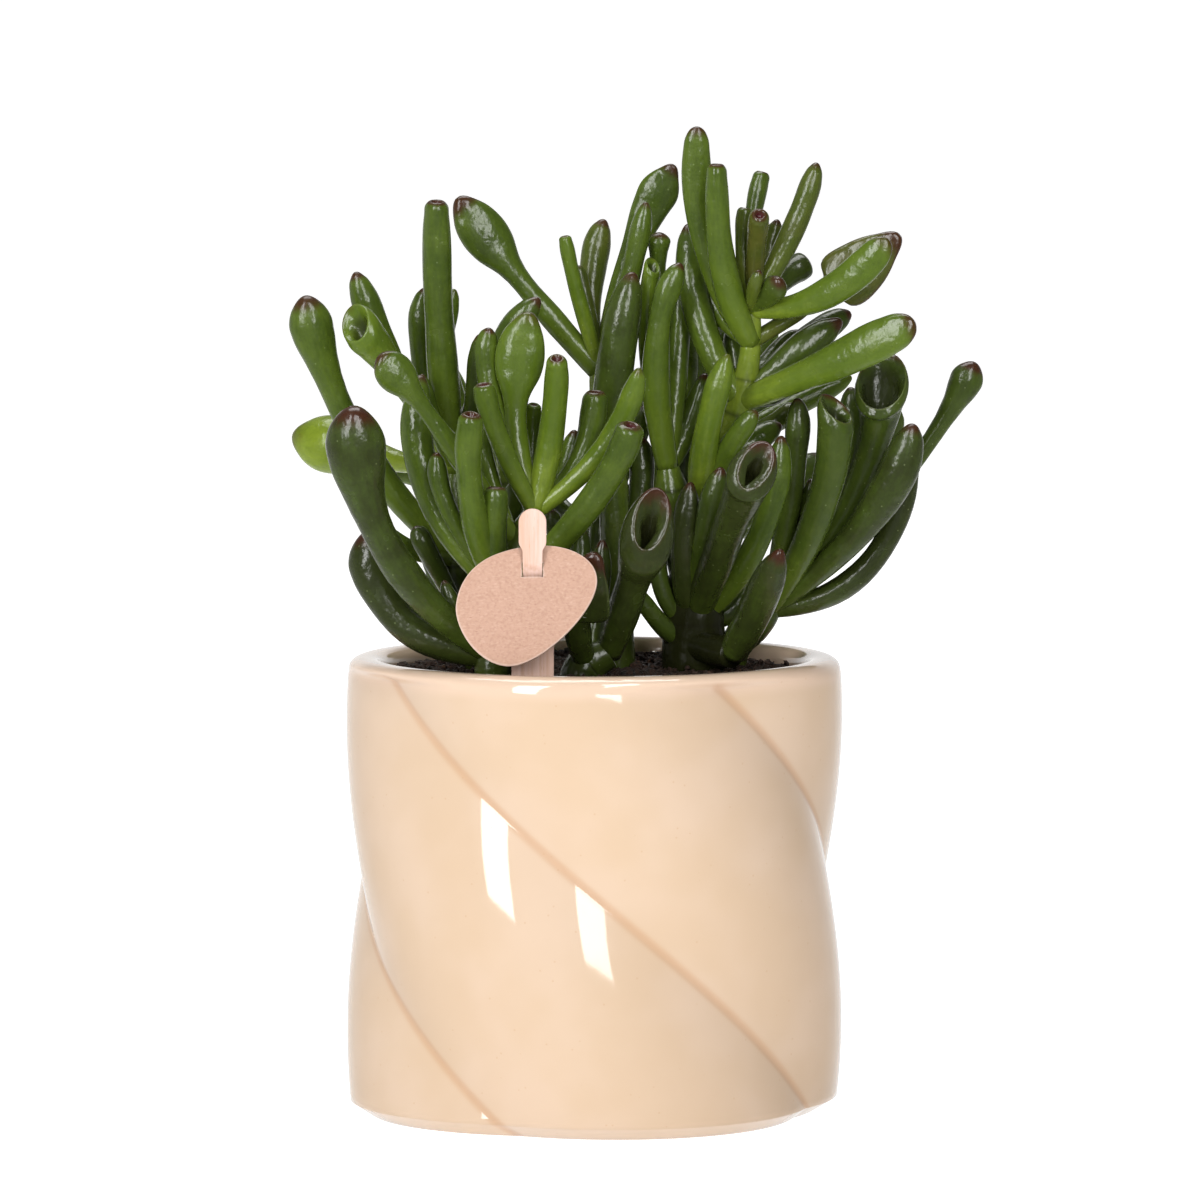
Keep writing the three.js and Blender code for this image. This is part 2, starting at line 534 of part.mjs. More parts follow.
      ['finger', 2, [-14.5, 38, 131], [-10.5, 48, 138], 5, 5.8],
      ['club', 2, [-23, 41, 139], [-27, 50, 153], 5, 8],
      ['taper', 1, [-14, 40, 115], [-8.5, 50, 122], 4.8, 5.6],
      ['taper', 3, [-28.5, 38, 151], [-34, 44, 165], 4.6, 5.4],
      ['finger', 1, [-28, 36, 122], [-37, 44, 129], 5, 5.6],
      ['taper', 3, [-20.5, 33, 153], [-19.5, 36, 164], 4.6, 5.2],
      ['spoon', 1, [-28, 42, 110], [-35, 54, 113], 4.6, 7],
    ],
  },
  shoot_back: {
    colour: 0x3f6a28,
    face: BACK,
    stems: [[
      [2, 33, 84, 3.6], [2, 34, 106, 3.4], [2, 35, 128, 3], [4, 36, 150, 2.3],
      [4, 36, 153, 1.2],
    ]],
    leaves: [
      ['taper', 3, [5, 38, 165], [4.8, 41, 178], 5, 6],
      ['club', 2, [3, 48, 140], [3.8, 60, 148], 5, 9],
      ['finger', 1, [7, 46, 113], [10.8, 60, 118], 5, 6],
      ['spoon', 2, [-7, 46, 130], [-15, 58, 138.5], 4.8, 8],
      ['cup', 1, [-8, 46, 110.5], [-17, 59, 114], 5, 8, [-0.1, 0.85, 0.5]],
      ['finger', 2, [13, 44, 138], [24, 50, 149.4], 4.8, 5.6],
      ['taper', 3, [11.5, 39, 156], [17.6, 41, 168.8], 4.6, 5.2],
      ['taper', 1, [-2, 47, 121], [-5, 59, 130], 5, 5.8],
      ['club', 1, [11.5, 46, 123], [16, 57, 132], 5, 8],
      ['taper', 2, [8, 45, 146], [10.5, 52, 160], 4.8, 5.6],
      ['finger', 3, [4, 44, 161], [3.5, 50, 170], 4.8, 5.4],
    ],
  },
  shoot_back_right: {
    colour: 0x3a5f22,
    face: BACK,
    stems: [[
      [25, 30, 84, 3.5], [25, 31, 106, 3.4], [27, 31, 128, 3], [31, 30, 148, 2.3],
      [31, 30, 151, 1.2],
    ]],
    leaves: [
      ['taper', 3, [44, 33, 154], [58, 35, 161], 4.6, 5],
      ['club', 2, [40, 44, 131], [51.5, 56, 142], 4.8, 8],
      ['spoon', 1, [46, 40, 122], [62, 47, 136], 4.6, 7.4],
      ['cup', 1, [29, 48, 112], [32.3, 62, 117], 5, 8.4, [0.1, 0.85, 0.5]],
      ['finger', 2, [35.5, 45, 127], [44, 58, 135.4], 4.8, 5.6],
      ['taper', 3, [29, 31, 163], [27.3, 34, 177], 4.6, 5.2],
      ['taper', 3, [25.5, 35, 162], [21.8, 42, 180.8], 4.8, 5.4],
      ['taper', 2, [23, 33, 147], [20, 36, 163], 5, 5.6],
      ['finger', 3, [38.5, 27, 150], [45.2, 25, 154.6], 4.4, 4.8],
      ['club', 2, [29.5, 45, 139], [30.5, 57, 150], 5, 8.6],
      ['taper', 3, [36, 38, 161], [40.5, 44, 173], 4.8, 5.6],
      ['finger', 1, [21.5, 44, 114], [20, 56, 120], 5, 5.6],
      ['taper', 1, [37, 43, 110], [47, 55, 114], 5, 5.6],
      ['taper', 2, [34, 40, 144], [38, 48, 156], 4.8, 5.6],
      ['finger', 3, [25, 40, 156], [21, 49, 165], 4.6, 5.2],
    ],
  },
};

function makeShoot({ face, stems, leaves }) {
  const roots = stems.flat();
  const vector = ([x, y, z]) => new THREE.Vector3(x, y, z);
  const pieces = stems.map((points) => makeStem(points));
  for (const [kind, root, middle, tip, neck, head, mouth] of leaves) {
    pieces.push(makeLeaf({
      kind,
      path: [roots[root], middle, tip].map(vector),
      neck,
      head,
      face: vector(face).normalize(),
      mouth: mouth ? vector(mouth).normalize() : null,
    }));
  }
  return toGeometry(joined(pieces));
}

// ---------------------------------------------------------------- soil

// A fill with a lumpy top, and a plain hole for each stem and for the pick.
function makeSoil() {
  const sides = 36;
  const ringAt = (radius, z) => {
    const ring = [];
    for (let i = 0; i < sides; i += 1) {
      const angle = (i / sides) * TURN;
      ring.push(new THREE.Vector3(radius * Math.cos(angle), radius * Math.sin(angle), z));
    }
    return ring;
  };
  const radii = [1, 0.88, 0.72, 0.54, 0.36, 0.18].map((part) => part * SOIL_RADIUS);
  const top = radii.map((radius) => ringAt(radius, SOIL_LEVEL));
  for (const point of top.flat()) {
    const lumps = Math.sin(point.x * 0.9 + point.y * 0.4) * Math.cos(point.y * 0.8 - point.x * 0.3);
    point.z += SOIL_RELIEF * lumps;
  }
  const middle = new THREE.Vector3(0, 0, SOIL_LEVEL);
  let soil = toSolid(loft([ringAt(SOIL_RADIUS, SOIL_BOTTOM), ...top], null, middle));
  for (const { stems } of Object.values(SHOOTS)) {
    soil = soil.subtract(toSolid(makeStem(stems[0].slice(0, 2), GAP)));
  }
  soil = soil.subtract(toSolid(makePick(GAP)));
  return toGeometry(soil);
}

// ---------------------------------------------------------------- the whole plant

const group = new THREE.Group();

function addPiece(name, geometry, colour, roughness) {
  const material = new THREE.MeshStandardMaterial({ color: colour, roughness, metalness: 0 });
  const mesh = new THREE.Mesh(geometry, material);
  mesh.name = name;
  group.add(mesh);
  return mesh;
}

addPiece('pot', makePot(), 0xeed2b4, 0.12);
addPiece('soil', makeSoil(), 0x2a1f1b, 0.95);
addPiece('pick', makePick(0), 0xfae1cd, 0.7);

const tag = addPiece('tag', makeTag(), 0xe2b79b, 0.85);
tag.position.set(PICK_X, PICK_Y - PICK_STEP / 2, SLIT_HEIGHT);
tag.rotation.set(Math.PI / 2 - TAG_LEAN, 0, TAG_TURN, 'ZXY');

for (const [name, shoot] of Object.entries(SHOOTS)) {
  addPiece(name, makeShoot(shoot), shoot.colour, 0.35);
}

export default group;
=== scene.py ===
"""Trumpet jade (Crassula ovata 'Gollum') in a twisted, glazed ceramic pot.

Builds the fine surfaces of the plant, its pot, its soil and the wooden pick that carries a
blank card tag, dresses them, and sets them on a plain pale floor under soft studio light.
Lengths in the tables are in millimetres, +Z is up and -Y is the front.
"""

import logging
import math
from dataclasses import dataclass, field
from enum import Enum
from typing import ClassVar

import bpy
import numpy as np
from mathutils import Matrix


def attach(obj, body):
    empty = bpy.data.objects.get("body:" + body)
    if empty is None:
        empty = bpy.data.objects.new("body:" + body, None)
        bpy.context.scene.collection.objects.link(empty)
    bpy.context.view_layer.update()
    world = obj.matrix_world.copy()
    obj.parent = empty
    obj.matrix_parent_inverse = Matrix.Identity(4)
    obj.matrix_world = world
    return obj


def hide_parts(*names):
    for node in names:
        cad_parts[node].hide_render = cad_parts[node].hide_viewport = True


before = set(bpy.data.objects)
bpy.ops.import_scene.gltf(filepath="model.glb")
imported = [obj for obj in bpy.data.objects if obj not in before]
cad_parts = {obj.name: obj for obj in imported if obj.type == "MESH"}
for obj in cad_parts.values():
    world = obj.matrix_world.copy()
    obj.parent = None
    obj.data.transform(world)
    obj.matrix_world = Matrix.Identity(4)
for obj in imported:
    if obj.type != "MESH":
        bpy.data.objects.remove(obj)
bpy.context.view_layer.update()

log = logging.getLogger("trumpet_jade")

MM = 0.001
TURN = 2 * math.pi
Point = tuple[float, float, float]
StemPoint = tuple[float, float, float, float]

# ------------------------------------------------------------------ sizes shared with the CAD

POT_HEIGHT = 101.0
POT_RADIUS = 55.0
WALL = 9.0
FLOOR = 9.0
SOIL_LEVEL = POT_HEIGHT - 3.5
SLIT_HEIGHT = 123.2
PICK_X, PICK_Y = -13.4, -38.0
PICK_STEP = 1.9

FRONT: Point = (0, -1, 0.25)
BACK: Point = (0, 1, 0.3)

# ------------------------------------------------------------------ surfaces


@dataclass
class Surface:
    """Closed grid of points, in millimetres, with the masks that its material reads.

    Rows lie along the piece and columns run round it, anticlockwise seen from the last row,
    so that faces look outwards. A looped surface joins its last row to its first; any other
    is closed at each end by a fan round the middle of the end row.
    """

    points: np.ndarray
    masks: dict[str, np.ndarray] = field(default_factory=dict)
    looped: bool = False

    def vertices(self, values: np.ndarray) -> np.ndarray:
        """Lists a rows x columns x 3 array as vertices, with the two poles last.

        Args:
            values: Points or mask values on the grid.

        Returns:
            One row of three numbers for each vertex.
        """
        flat = values.reshape(-1, 3)
        if self.looped:
            return flat
        return np.vstack([flat, values[0].mean(axis=0), values[-1].mean(axis=0)])

    def faces(self, offset: int) -> tuple[np.ndarray, np.ndarray]:
        """Numbers the corners of the grid's quads and of the two end fans.

        Args:
            offset: Number of the surface's first vertex in the mesh.

        Returns:
            The quads and the triangles, as arrays of vertex numbers.
        """
        rows, columns = self.points.shape[:2]
        index = np.arange(rows * columns).reshape(rows, columns) + offset
        right = np.roll(index, -1, axis=1)
        grid = np.stack([index, right, np.roll(right, -1, axis=0), np.roll(index, -1, axis=0)], -1)
        if self.looped:
            return grid.reshape(-1, 4), np.empty((0, 3), dtype=int)
        start = np.full(columns, offset + rows * columns)
        first = np.stack([right[0], index[0], start], axis=-1)
        last = np.stack([index[-1], right[-1], start + 1], axis=-1)
        return grid[:-1].reshape(-1, 4), np.vstack([first, last])


def make_mesh(
    name: str,
    points: np.ndarray,
    quads: np.ndarray,
    triangles: np.ndarray,
    masks: dict[str, np.ndarray],
    smooth: bool = True,
) -> bpy.types.Object:
    """Puts vertices and faces into a new mesh object.

    Args:
        name: Name of the piece.
        points: Vertices in millimetres.
        quads: Corners of the four-sided faces.
        triangles: Corners of the three-sided faces.
        masks: Point attributes, three numbers for each vertex.
        smooth: Whether the faces are shaded smooth.

    Returns:
        The new object, at the origin.
    """
    mesh = bpy.data.meshes.new(name)
    corners = np.concatenate([quads.ravel(), triangles.ravel()])
    tails = quads.size + np.arange(len(triangles)) * 3
    starts = np.concatenate([np.arange(len(quads)) * 4, tails])
    mesh.vertices.add(len(points))
    mesh.vertices.foreach_set("co", (points * MM).ravel())
    mesh.loops.add(len(corners))
    mesh.loops.foreach_set("vertex_index", corners)
    mesh.polygons.add(len(starts))
    mesh.polygons.foreach_set("loop_start", starts)
    mesh.update(calc_edges=True)
    mesh.polygons.foreach_set("use_smooth", np.full(len(starts), smooth))
    for mask, values in masks.items():
        attribute = mesh.attributes.new(mask, "FLOAT_VECTOR", "POINT")
        attribute.data.foreach_set("vector", values.ravel())
    piece = bpy.data.objects.new(name, mesh)
    bpy.context.scene.collection.objects.link(piece)
    return piece


def join_surfaces(name: str, surfaces: list[Surface]) -> bpy.types.Object:
    """Joins closed surfaces in one smooth mesh object, with their masks as attributes.

    Args:
        name: Name of the piece.
        surfaces: The closed surfaces, which all carry the same masks.

    Returns:
        The new object, at the origin.
    """
    points = [surface.vertices(surface.points) for surface in surfaces]
    offsets = np.cumsum([0] + [len(part) for part in points])
    faces = [surface.faces(offset) for surface, offset in zip(surfaces, offsets)]
    masks = {
        mask: np.vstack([surface.vertices(surface.masks[mask]) for surface in surfaces])
        for mask in surfaces[0].masks
    }
    quads = np.vstack([grid for grid, _ in faces])
    triangles = np.vstack([fans for _, fans in faces])
    return make_mesh(name, np.vstack(points), quads, triangles, masks)


def install(piece: bpy.types.Object, node: str, material: bpy.types.Material) -> None:
    """Dresses a piece and puts it in the place of its CAD node.

    Args:
        piece: The finished mesh object.
        node: Name of the CAD node that it stands for.
        material: The piece's finish.
    """
    piece.data.materials.append(material)
    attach(piece, "root")
    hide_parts(node)
    log.info("%s: %d triangles", piece.name, len(piece.data.loops) - 2 * len(piece.data.polygons))


def smoothstep(x: np.ndarray, low: float, high: float) -> np.ndarray:
    """Eases from 0 at low to 1 at high."""
    t = np.clip((x - low) / (high - low), 0, 1)
    return t * t * (3 - 2 * t)


def unit(vectors: np.ndarray) -> np.ndarray:
    """Scales vectors to length 1 along the last axis."""
    return vectors / np.maximum(np.linalg.norm(vectors, axis=-1, keepdims=True), 1e-9)


def triple(first: np.ndarray, second: object, third: object) -> np.ndarray:
    """Stacks three values on one grid as the three numbers of each point."""
    return np.stack(np.broadcast_arrays(first, second, third), axis=-1).astype(float)


def flow(knots: np.ndarray, steps: int, lead: int, end: np.ndarray | None = None) -> np.ndarray:
    """Draws a smooth curve through knots.

    Between two knots the curve is a cubic, and its slope at a knot is the mean of the two
    chords that meet there, each weighted by the length of the other.

    Args:
        knots: One row for each knot.
        steps: Points drawn for each chord.
        lead: How many of the first columns measure a chord's length.
        end: Slope at the last knot, or None for the last chord's own.

    Returns:
        The curve's points, knots included.
    """
    chords = np.diff(knots, axis=0)
    lengths = np.maximum(np.linalg.norm(chords[:, :lead], axis=1), 1e-6)[:, None]
    slopes = chords / lengths
    inner = slopes[:-1] * lengths[1:] + slopes[1:] * lengths[:-1]
    inner = inner / (lengths[1:] + lengths[:-1])
    tangents = np.vstack([slopes[:1], inner, slopes[-1:] if end is None else end[None]])
    t = np.linspace(0, 1, steps, endpoint=False)[None, :, None]
    a, b = knots[:-1, None], knots[1:, None]
    u, v = (tangents[:-1] * lengths)[:, None], (tangents[1:] * lengths)[:, None]
    curve = (2 * t**3 - 3 * t**2 + 1) * a + (t**3 - 2 * t**2 + t) * u
    curve = curve + (3 * t**2 - 2 * t**3) * b + (t**3 - t**2) * v
    return np.vstack([curve.reshape(-1, knots.shape[1]), knots[-1:]])


def ripple(points: np.ndarray, wavelength: float, seed: int) -> np.ndarray:
    """Sums eight sine waves of seeded direction and phase, to between about -1 and 1.

    Args:
        points: Places in millimetres, with x, y, z on the last axis.
        wavelength: Mean length of the waves in millimetres.
        seed: Picks the waves.

    Returns:
        One height for each place.
    """
    random = np.random.default_rng(seed)
    lengths = wavelength * random.uniform(0.6, 1.5, (8, 1))
    waves = unit(random.normal(size=(8, 3))) * TURN / lengths
    phases = random.uniform(0, TURN, 8)
    return np.sin(points @ waves.T + phases).mean(axis=-1) * 1.6


# ------------------------------------------------------------------ finishes


def linear(colour: str) -> tuple[float, float, float, float]:
    """Turns an sRGB hex colour to linear light.

    Args:
        colour: The colour, such as "#1b1b0d".

    Returns:
        Red, green, blue and alpha, each from 0 to 1.
    """
    parts = [int(colour[i : i + 2], 16) / 255 for i in (1, 3, 5)]
    r, g, b = (c / 12.92 if c <= 0.04045 else ((c + 0.055) / 1.055) ** 2.4 for c in parts)
    return r, g, b, 1.0


def pattern(place: bpy.types.NodeSocket, size: float, **more: float) -> dict:
    """Gives a pattern's inputs: where it is read and its scale, from a grain in millimetres."""
    return {"Vector": place, "Scale": 1 / (size * MM), **more}


class NodeGraph:
    """The nodes of a material or of the surround."""

    def __init__(self, tree: bpy.types.NodeTree) -> None:
        """Keeps the tree that the nodes go into."""
        self.tree = tree

    def feed(self, node: bpy.types.Node, inputs: dict) -> bpy.types.Node:
        """Links sockets to a node's inputs, or sets values on them.

        Args:
            node: The node to feed.
            inputs: The socket or value for each input, by its name or number.

        Returns:
            The same node.
        """
        for key, value in inputs.items():
            socket = node.inputs[key]
            if isinstance(value, bpy.types.NodeSocket):
                self.tree.links.new(value, socket)
            else:
                socket.default_value = value
        return node

    def add(
        self, kind: str, inputs: dict, output: int | str = 0, **settings: object
    ) -> bpy.types.NodeSocket:
        """Adds a node with its settings and links.

        Args:
            kind: Blender's name for the node, without the leading "ShaderNode".
            inputs: The socket or value for each input, by its name or number.
            output: Name or number of the output to hand back.
            settings: Properties of the node itself.

        Returns:
            The chosen output.
        """
        node = self.tree.nodes.new("ShaderNode" + kind)
        for name, value in settings.items():
            setattr(node, name, value)
        return self.feed(node, inputs).outputs[output]


Layer = tuple[bpy.types.NodeSocket, float, float, float, str]


class Finish(NodeGraph):
    """A material under construction: its nodes and the shader at their end."""

    def __init__(self, name: str) -> None:
        """Starts a material with a Principled shader."""
        self.material = bpy.data.materials.new(name)
        self.material.use_nodes = True
        super().__init__(self.material.node_tree)
        self.shader = self.tree.nodes["Principled BSDF"]

    def paint(self, ground: object, layers: list[Layer]) -> bpy.types.NodeSocket:
        """Lays colours over a ground, one after the other.

        Args:
            ground: Colour, or socket of one, that the layers cover.
            layers: For each colour its mask, the mask's values that give none of it and most
                of it, how much the most is, and the colour.

        Returns:
            The finished colour.
        """
        for mask, low, high, most, colour in layers:
            spread = {0: mask, 1: low, 2: high, 4: most}
            share = self.add("MapRange", spread, interpolation_type="SMOOTHSTEP")
            blend = {0: share, 6: ground, 7: linear(colour)}
            ground = self.add("Mix", blend, 2, data_type="RGBA")
        return ground

    def raise_relief(
        self, reliefs: list[tuple[bpy.types.NodeSocket, float]]
    ) -> bpy.types.NodeSocket:
        """Raises the surface by patterns, one on top of the other.

        Args:
            reliefs: For each pattern its height, from 0 to 1, and its depth in millimetres.

        Returns:
            The normal of the raised surface.
        """
        normal = None
        for height, depth in reliefs:
            inputs = {"Height": height, "Distance": depth * MM}
            if normal is not None:
                inputs["Normal"] = normal
            normal = self.add("Bump", inputs)
        return normal

    def close(self, inputs: dict) -> bpy.types.Material:
        """Feeds the shader and returns the finished material."""
        self.feed(self.shader, inputs)
        return self.material


@dataclass(frozen=True)
class SucculentSkin:
    """Living Crassula leaf: a waxy skin over water-filled cells.

    It gives the eye a soft, pebbly gloss that breaks into glints, green that brightens to
    yellow at the base, brown red where the sun burns the tip, scattered pale pores, and
    painted shade deep inside the mouths.
    """

    name: str = "succulent_leaf_skin"
    slate: str = "#272e12"
    deep: str = "#334213"
    green: str = "#485b15"
    lime: str = "#718320"
    base: str = "#7d8c36"
    olive: str = "#4a4a1d"
    blush: str = "#371a10"
    plum: str = "#43161c"
    edge: str = "#76864a"
    bark: str = "#1b1b0d"
    pore: str = "#8f9d6c"
    cloud_size: float = 6.0
    pebble: float = 0.7  # skin cells are 0.1 mm across, drawn this coarse so that they show
    dimple: float = 3.2
    pore_gap: float = 2.1

    def make(self) -> bpy.types.Material:
        """Builds the material from the leaf's masks: growth, tint, edges and grain.

        Returns:
            The finished material.
        """
        skin = Finish(self.name)
        here = skin.add("TexCoord", {}, "Object")
        growth, tint, edges, grain = (
            skin.add("Attribute", {}, "Vector", attribute_name=mask)
            for mask in ("growth", "tint", "edges", "grain")
        )
        tip, cave = (skin.add("SeparateXYZ", {0: growth}, axis) for axis in "YZ")
        shade, warmth, paling = (skin.add("SeparateXYZ", {0: tint}, axis) for axis in "XYZ")
        # third channel of edges: dark joints on stems, and painted shade deep inside a leaf's
        # mouth
        edge, bark, mouth = (skin.add("SeparateXYZ", {0: edges}, axis) for axis in "XYZ")
        cloud = skin.add("TexNoise", pattern(here, self.cloud_size, Detail=3))
        streak = skin.add("TexNoise", {"Vector": grain, "Scale": 1.0, "Detail": 3})
        pebbles = skin.add("TexNoise", pattern(here, self.pebble, Detail=2))
        dimples = skin.add("TexNoise", pattern(here, self.dimple, Detail=2))
        pores = skin.add("TexVoronoi", pattern(here, self.pore_gap))

        drift = shade
        for wave, share in ((cloud, 0.42), (streak, 0.26), (pebbles, 0.14)):
            drift = skin.add("Math", {0: wave, 1: share, 2: drift}, operation="MULTIPLY_ADD")
        ragged, ragged_bark = (
            skin.add("Math", {0: streak, 1: share, 2: mask}, operation="MULTIPLY_ADD")
            for share, mask in ((0.5, tip), (0.4, bark))
        )
        warm = skin.add("Math", {0: warmth, 1: cloud}, operation="MULTIPLY")
        colour = skin.paint(
            linear(self.slate),
            [
                (drift, 0.0, 0.3, 1.0, self.deep),
                (drift, 0.25, 0.65, 1.0, self.green),
                (drift, 0.6, 1.05, 1.0, self.lime),
                (warm, 0.0, 1.0, 1.0, self.olive),
                (paling, 0.0, 1.2, 0.33, self.base),
                (pores, 0.11, 0.06, 0.22, self.pore),
                (edge, 0.0, 1.0, 1.0, self.edge),
                (ragged, 0.3, 0.95, 0.9, self.blush),
                (cave, 0.0, 1.0, 0.85, self.plum),
                (ragged_bark, 0.25, 1.0, 0.9, self.bark),
                # bark colour laid as dark stem joints and as painted shade deep inside mouths
                (mouth, 0.2, 1.0, 0.78, self.bark),
            ],
        )
        gloss = skin.add("MapRange", {0: cloud, 1: 0.3, 2: 0.7, 3: 0.19, 4: 0.28})
        shine = skin.add("Math", {0: bark, 1: -0.4, 2: 0.5}, operation="MULTIPLY_ADD")
        relief = skin.raise_relief([(pebbles, 0.05), (dimples, 0.34)])
        return skin.close(
            {
                "Base Color": colour,
                "Roughness": gloss,
                "IOR": 1.47,
                "Specular IOR Level": shine,
                "Normal": relief,
            }
        )


@dataclass(frozen=True)
class CreamGlaze:
    """Cream glaze fired on stoneware.

    It gives the eye a deep, slightly uneven gloss, warm cream on the lobes, tan where the
    glaze pools in the creases with painted shade along them, and paler, pinker cream towards
    the top of the rim.
    """

    name: str = "cream_glazed_stoneware"
    cream: str = "#bba590"
    warm: str = "#b7a088"
    pool_and_crease_shade: str = "#a06f42"
    rim: str = "#c1a995"
    speckle: str = "#a98867"
    cloud_size: float = 22.0
    wave_size: float = 18.0
    peel_size: float = 1.6
    speckle_gap: float = 3.4

    def make(self) -> bpy.types.Material:
        """Builds the material from the pot's masks: crease and rim.

        Returns:
            The finished material.
        """
        glaze = Finish(self.name)
        here = glaze.add("TexCoord", {}, "Object")
        masks = glaze.add("Attribute", {}, "Vector", attribute_name="glaze")
        crease, rim = (glaze.add("SeparateXYZ", {0: masks}, axis) for axis in "XY")
        cloud = glaze.add("TexNoise", pattern(here, self.cloud_size, Detail=2))
        waves = glaze.add("TexNoise", pattern(here, self.wave_size, Detail=1))
        peel = glaze.add("TexNoise", pattern(here, self.peel_size, Detail=1))
        specks = glaze.add("TexVoronoi", pattern(here, self.speckle_gap))
        colour = glaze.paint(
            linear(self.cream),
            [
                (cloud, 0.3, 0.7, 1.0, self.warm),
                # paler, pinker cream towards the top of the rim
                (rim, 0.0, 1.0, 0.8, self.rim),
                # tan of glaze pooled in the creases, together with painted shade along them
                (crease, 0.0, 1.0, 0.34, self.pool_and_crease_shade),
                (specks, 0.09, 0.04, 0.3, self.speckle),
            ],
        )
        gloss = glaze.add("MapRange", {0: cloud, 1: 0.3, 2: 0.7, 3: 0.05, 4: 0.075})
        return glaze.close(
            {
                "Base Color": colour,
                "Roughness": gloss,
                "IOR": 1.5,
                "Coat Weight": 0.15,
                "Coat Roughness": 0.03,
                "Normal": glaze.raise_relief([(waves, 0.07), (peel, 0.003)]),
            }
        )


@dataclass(frozen=True)
class PottingSoil:
    """Peat and lava grit, watered not long ago.

    It gives the eye near-black crumbs, a few browner ones, and small wet glints.
    """

    name: str = "peat_potting_soil"
    peat: str = "#150f0a"
    crumb: str = "#31221a"
    grit: str = "#5a412f"
    clod_size: float = 1.6
    crumb_size: float = 1.1

    def make(self) -> bpy.types.Material:
        """Builds the material from the place alone.

        Returns:
            The finished material.
        """
        soil = Finish(self.name)
        here = soil.add("TexCoord", {}, "Object")
        clods = soil.add("TexNoise", pattern(here, self.clod_size, Detail=4))
        crumbs = soil.add("TexVoronoi", pattern(here, self.crumb_size))
        layers = [(clods, 0.3, 0.6, 1.0, self.crumb), (clods, 0.6, 0.8, 1.0, self.grit)]
        gloss = soil.add("MapRange", {0: clods, 1: 0.35, 2: 0.65, 3: 0.45, 4: 0.95})
        return soil.close(
            {
                "Base Color": soil.paint(linear(self.peat), layers),
                "Roughness": gloss,
                "IOR": 1.33,
                "Normal": soil.raise_relief([(crumbs, 0.5), (clods, 0.5)]),
            }
        )


@dataclass(frozen=True)
class BirchWood:
    """Rotary-cut birch, as in craft sticks, sanded and unsealed.

    It gives the eye a pale, almost pink board with fine upright grain and short dark pores.
    """

    name: str = "birch_craft_wood"
    pale: str = "#c9ada2"
    grain: str = "#b99682"
    pore: str = "#a97f63"
    fibre_size: float = 0.7
    band_size: float = 3.5
    pore_size: float = 0.55

    def make(self) -> bpy.types.Material:
        """Builds the material, with its grain along Z.

        Returns:
            The finished material.
        """
        wood = Finish(self.name)
        here = wood.add("TexCoord", {}, "Object")
        upright = wood.add("Mapping", {"Vector": here, "Scale": (1, 1, 0.06)})
        fibres = wood.add("TexNoise", pattern(upright, self.fibre_size, Detail=4))
        bands = wood.add("TexNoise", pattern(upright, self.band_size, Detail=2))
        shorter = wood.add("Mapping", {"Vector": here, "Scale": (1, 1, 0.12)})
        pores = wood.add("TexVoronoi", pattern(shorter, self.pore_size))
        share = wood.add("Math", {0: bands, 1: 0.65, 2: fibres}, operation="MULTIPLY_ADD")
        layers = [(share, 0.55, 1.15, 1.0, self.grain), (pores, 0.16, 0.06, 0.5, self.pore)]
        gloss = wood.add("MapRange", {0: fibres, 1: 0.3, 2: 0.7, 3: 0.6, 4: 0.75})
        return wood.close(
            {
                "Base Color": wood.paint(linear(self.pale), layers),
                "Roughness": gloss,
                "IOR": 1.45,
                "Normal": wood.raise_relief([(fibres, 0.08)]),
            }
        )


@dataclass(frozen=True)
class KraftCard:
    """Thick unbleached kraft card, cut with a knife.

    It gives the eye a dry, warm tan face with short lighter and darker fibres, and a paler
    core along the cut.
    """

    name: str = "kraft_card"
    tan: str = "#a98876"
    dark: str = "#8b6856"
    light: str = "#b89b8a"
    core: str = "#bea79a"
    pulp_size: float = 0.65
    fibre_size: float = 0.35
    fleck_size: float = 1.3

    def make(self) -> bpy.types.Material:
        """Builds the material from the card's mask, which is 1 along its cuts.

        Returns:
            The finished material.
        """
        card = Finish(self.name)
        here = card.add("TexCoord", {}, "Object")
        mask = card.add("Attribute", {}, "Vector", attribute_name="card")
        cut = card.add("SeparateXYZ", {0: mask}, "X")
        pulp = card.add("TexNoise", pattern(here, self.pulp_size, Detail=5))
        level = card.add("Mapping", {"Vector": here, "Scale": (0.4, 1, 1)})
        fibre = card.add("TexNoise", pattern(level, self.fibre_size, Detail=3))
        flecks = card.add("TexVoronoi", pattern(level, self.fleck_size))
        layers = [
            (pulp, 0.4, 0.7, 0.36, self.dark),
            (fibre, 0.5, 0.72, 0.5, self.light),
            (flecks, 0.14, 0.05, 0.55, self.dark),
            (cut, 0.2, 1.0, 0.7, self.core),
        ]
        return card.close(
            {
                "Base Color": card.paint(linear(self.tan), layers),
                "Roughness": 0.85,
                "IOR": 1.4,
                "Normal": card.raise_relief([(pulp, 0.05), (fibre, 0.04)]),
            }
        )


@dataclass(frozen=True)
class PaleFloor:
    """Opal acrylic light table, lit from beneath, which leaves only a faint soft shadow."""

    name: str = "opal_acrylic_table"
    white: str = "#e8e8e8"
    glow: float = 0.85

    def make(self) -> bpy.types.Material:
        """Builds the plain material.

        Returns:
            The finished material.
        """
        table = Finish(self.name)
        return table.close(
            {
                "Base Color": linear(self.white),
                "Roughness": 0.9,
                "Emission Color": linear("#ffffff"),
                "Emission Strength": self.glow,
            }
        )


# ------------------------------------------------------------------ pot


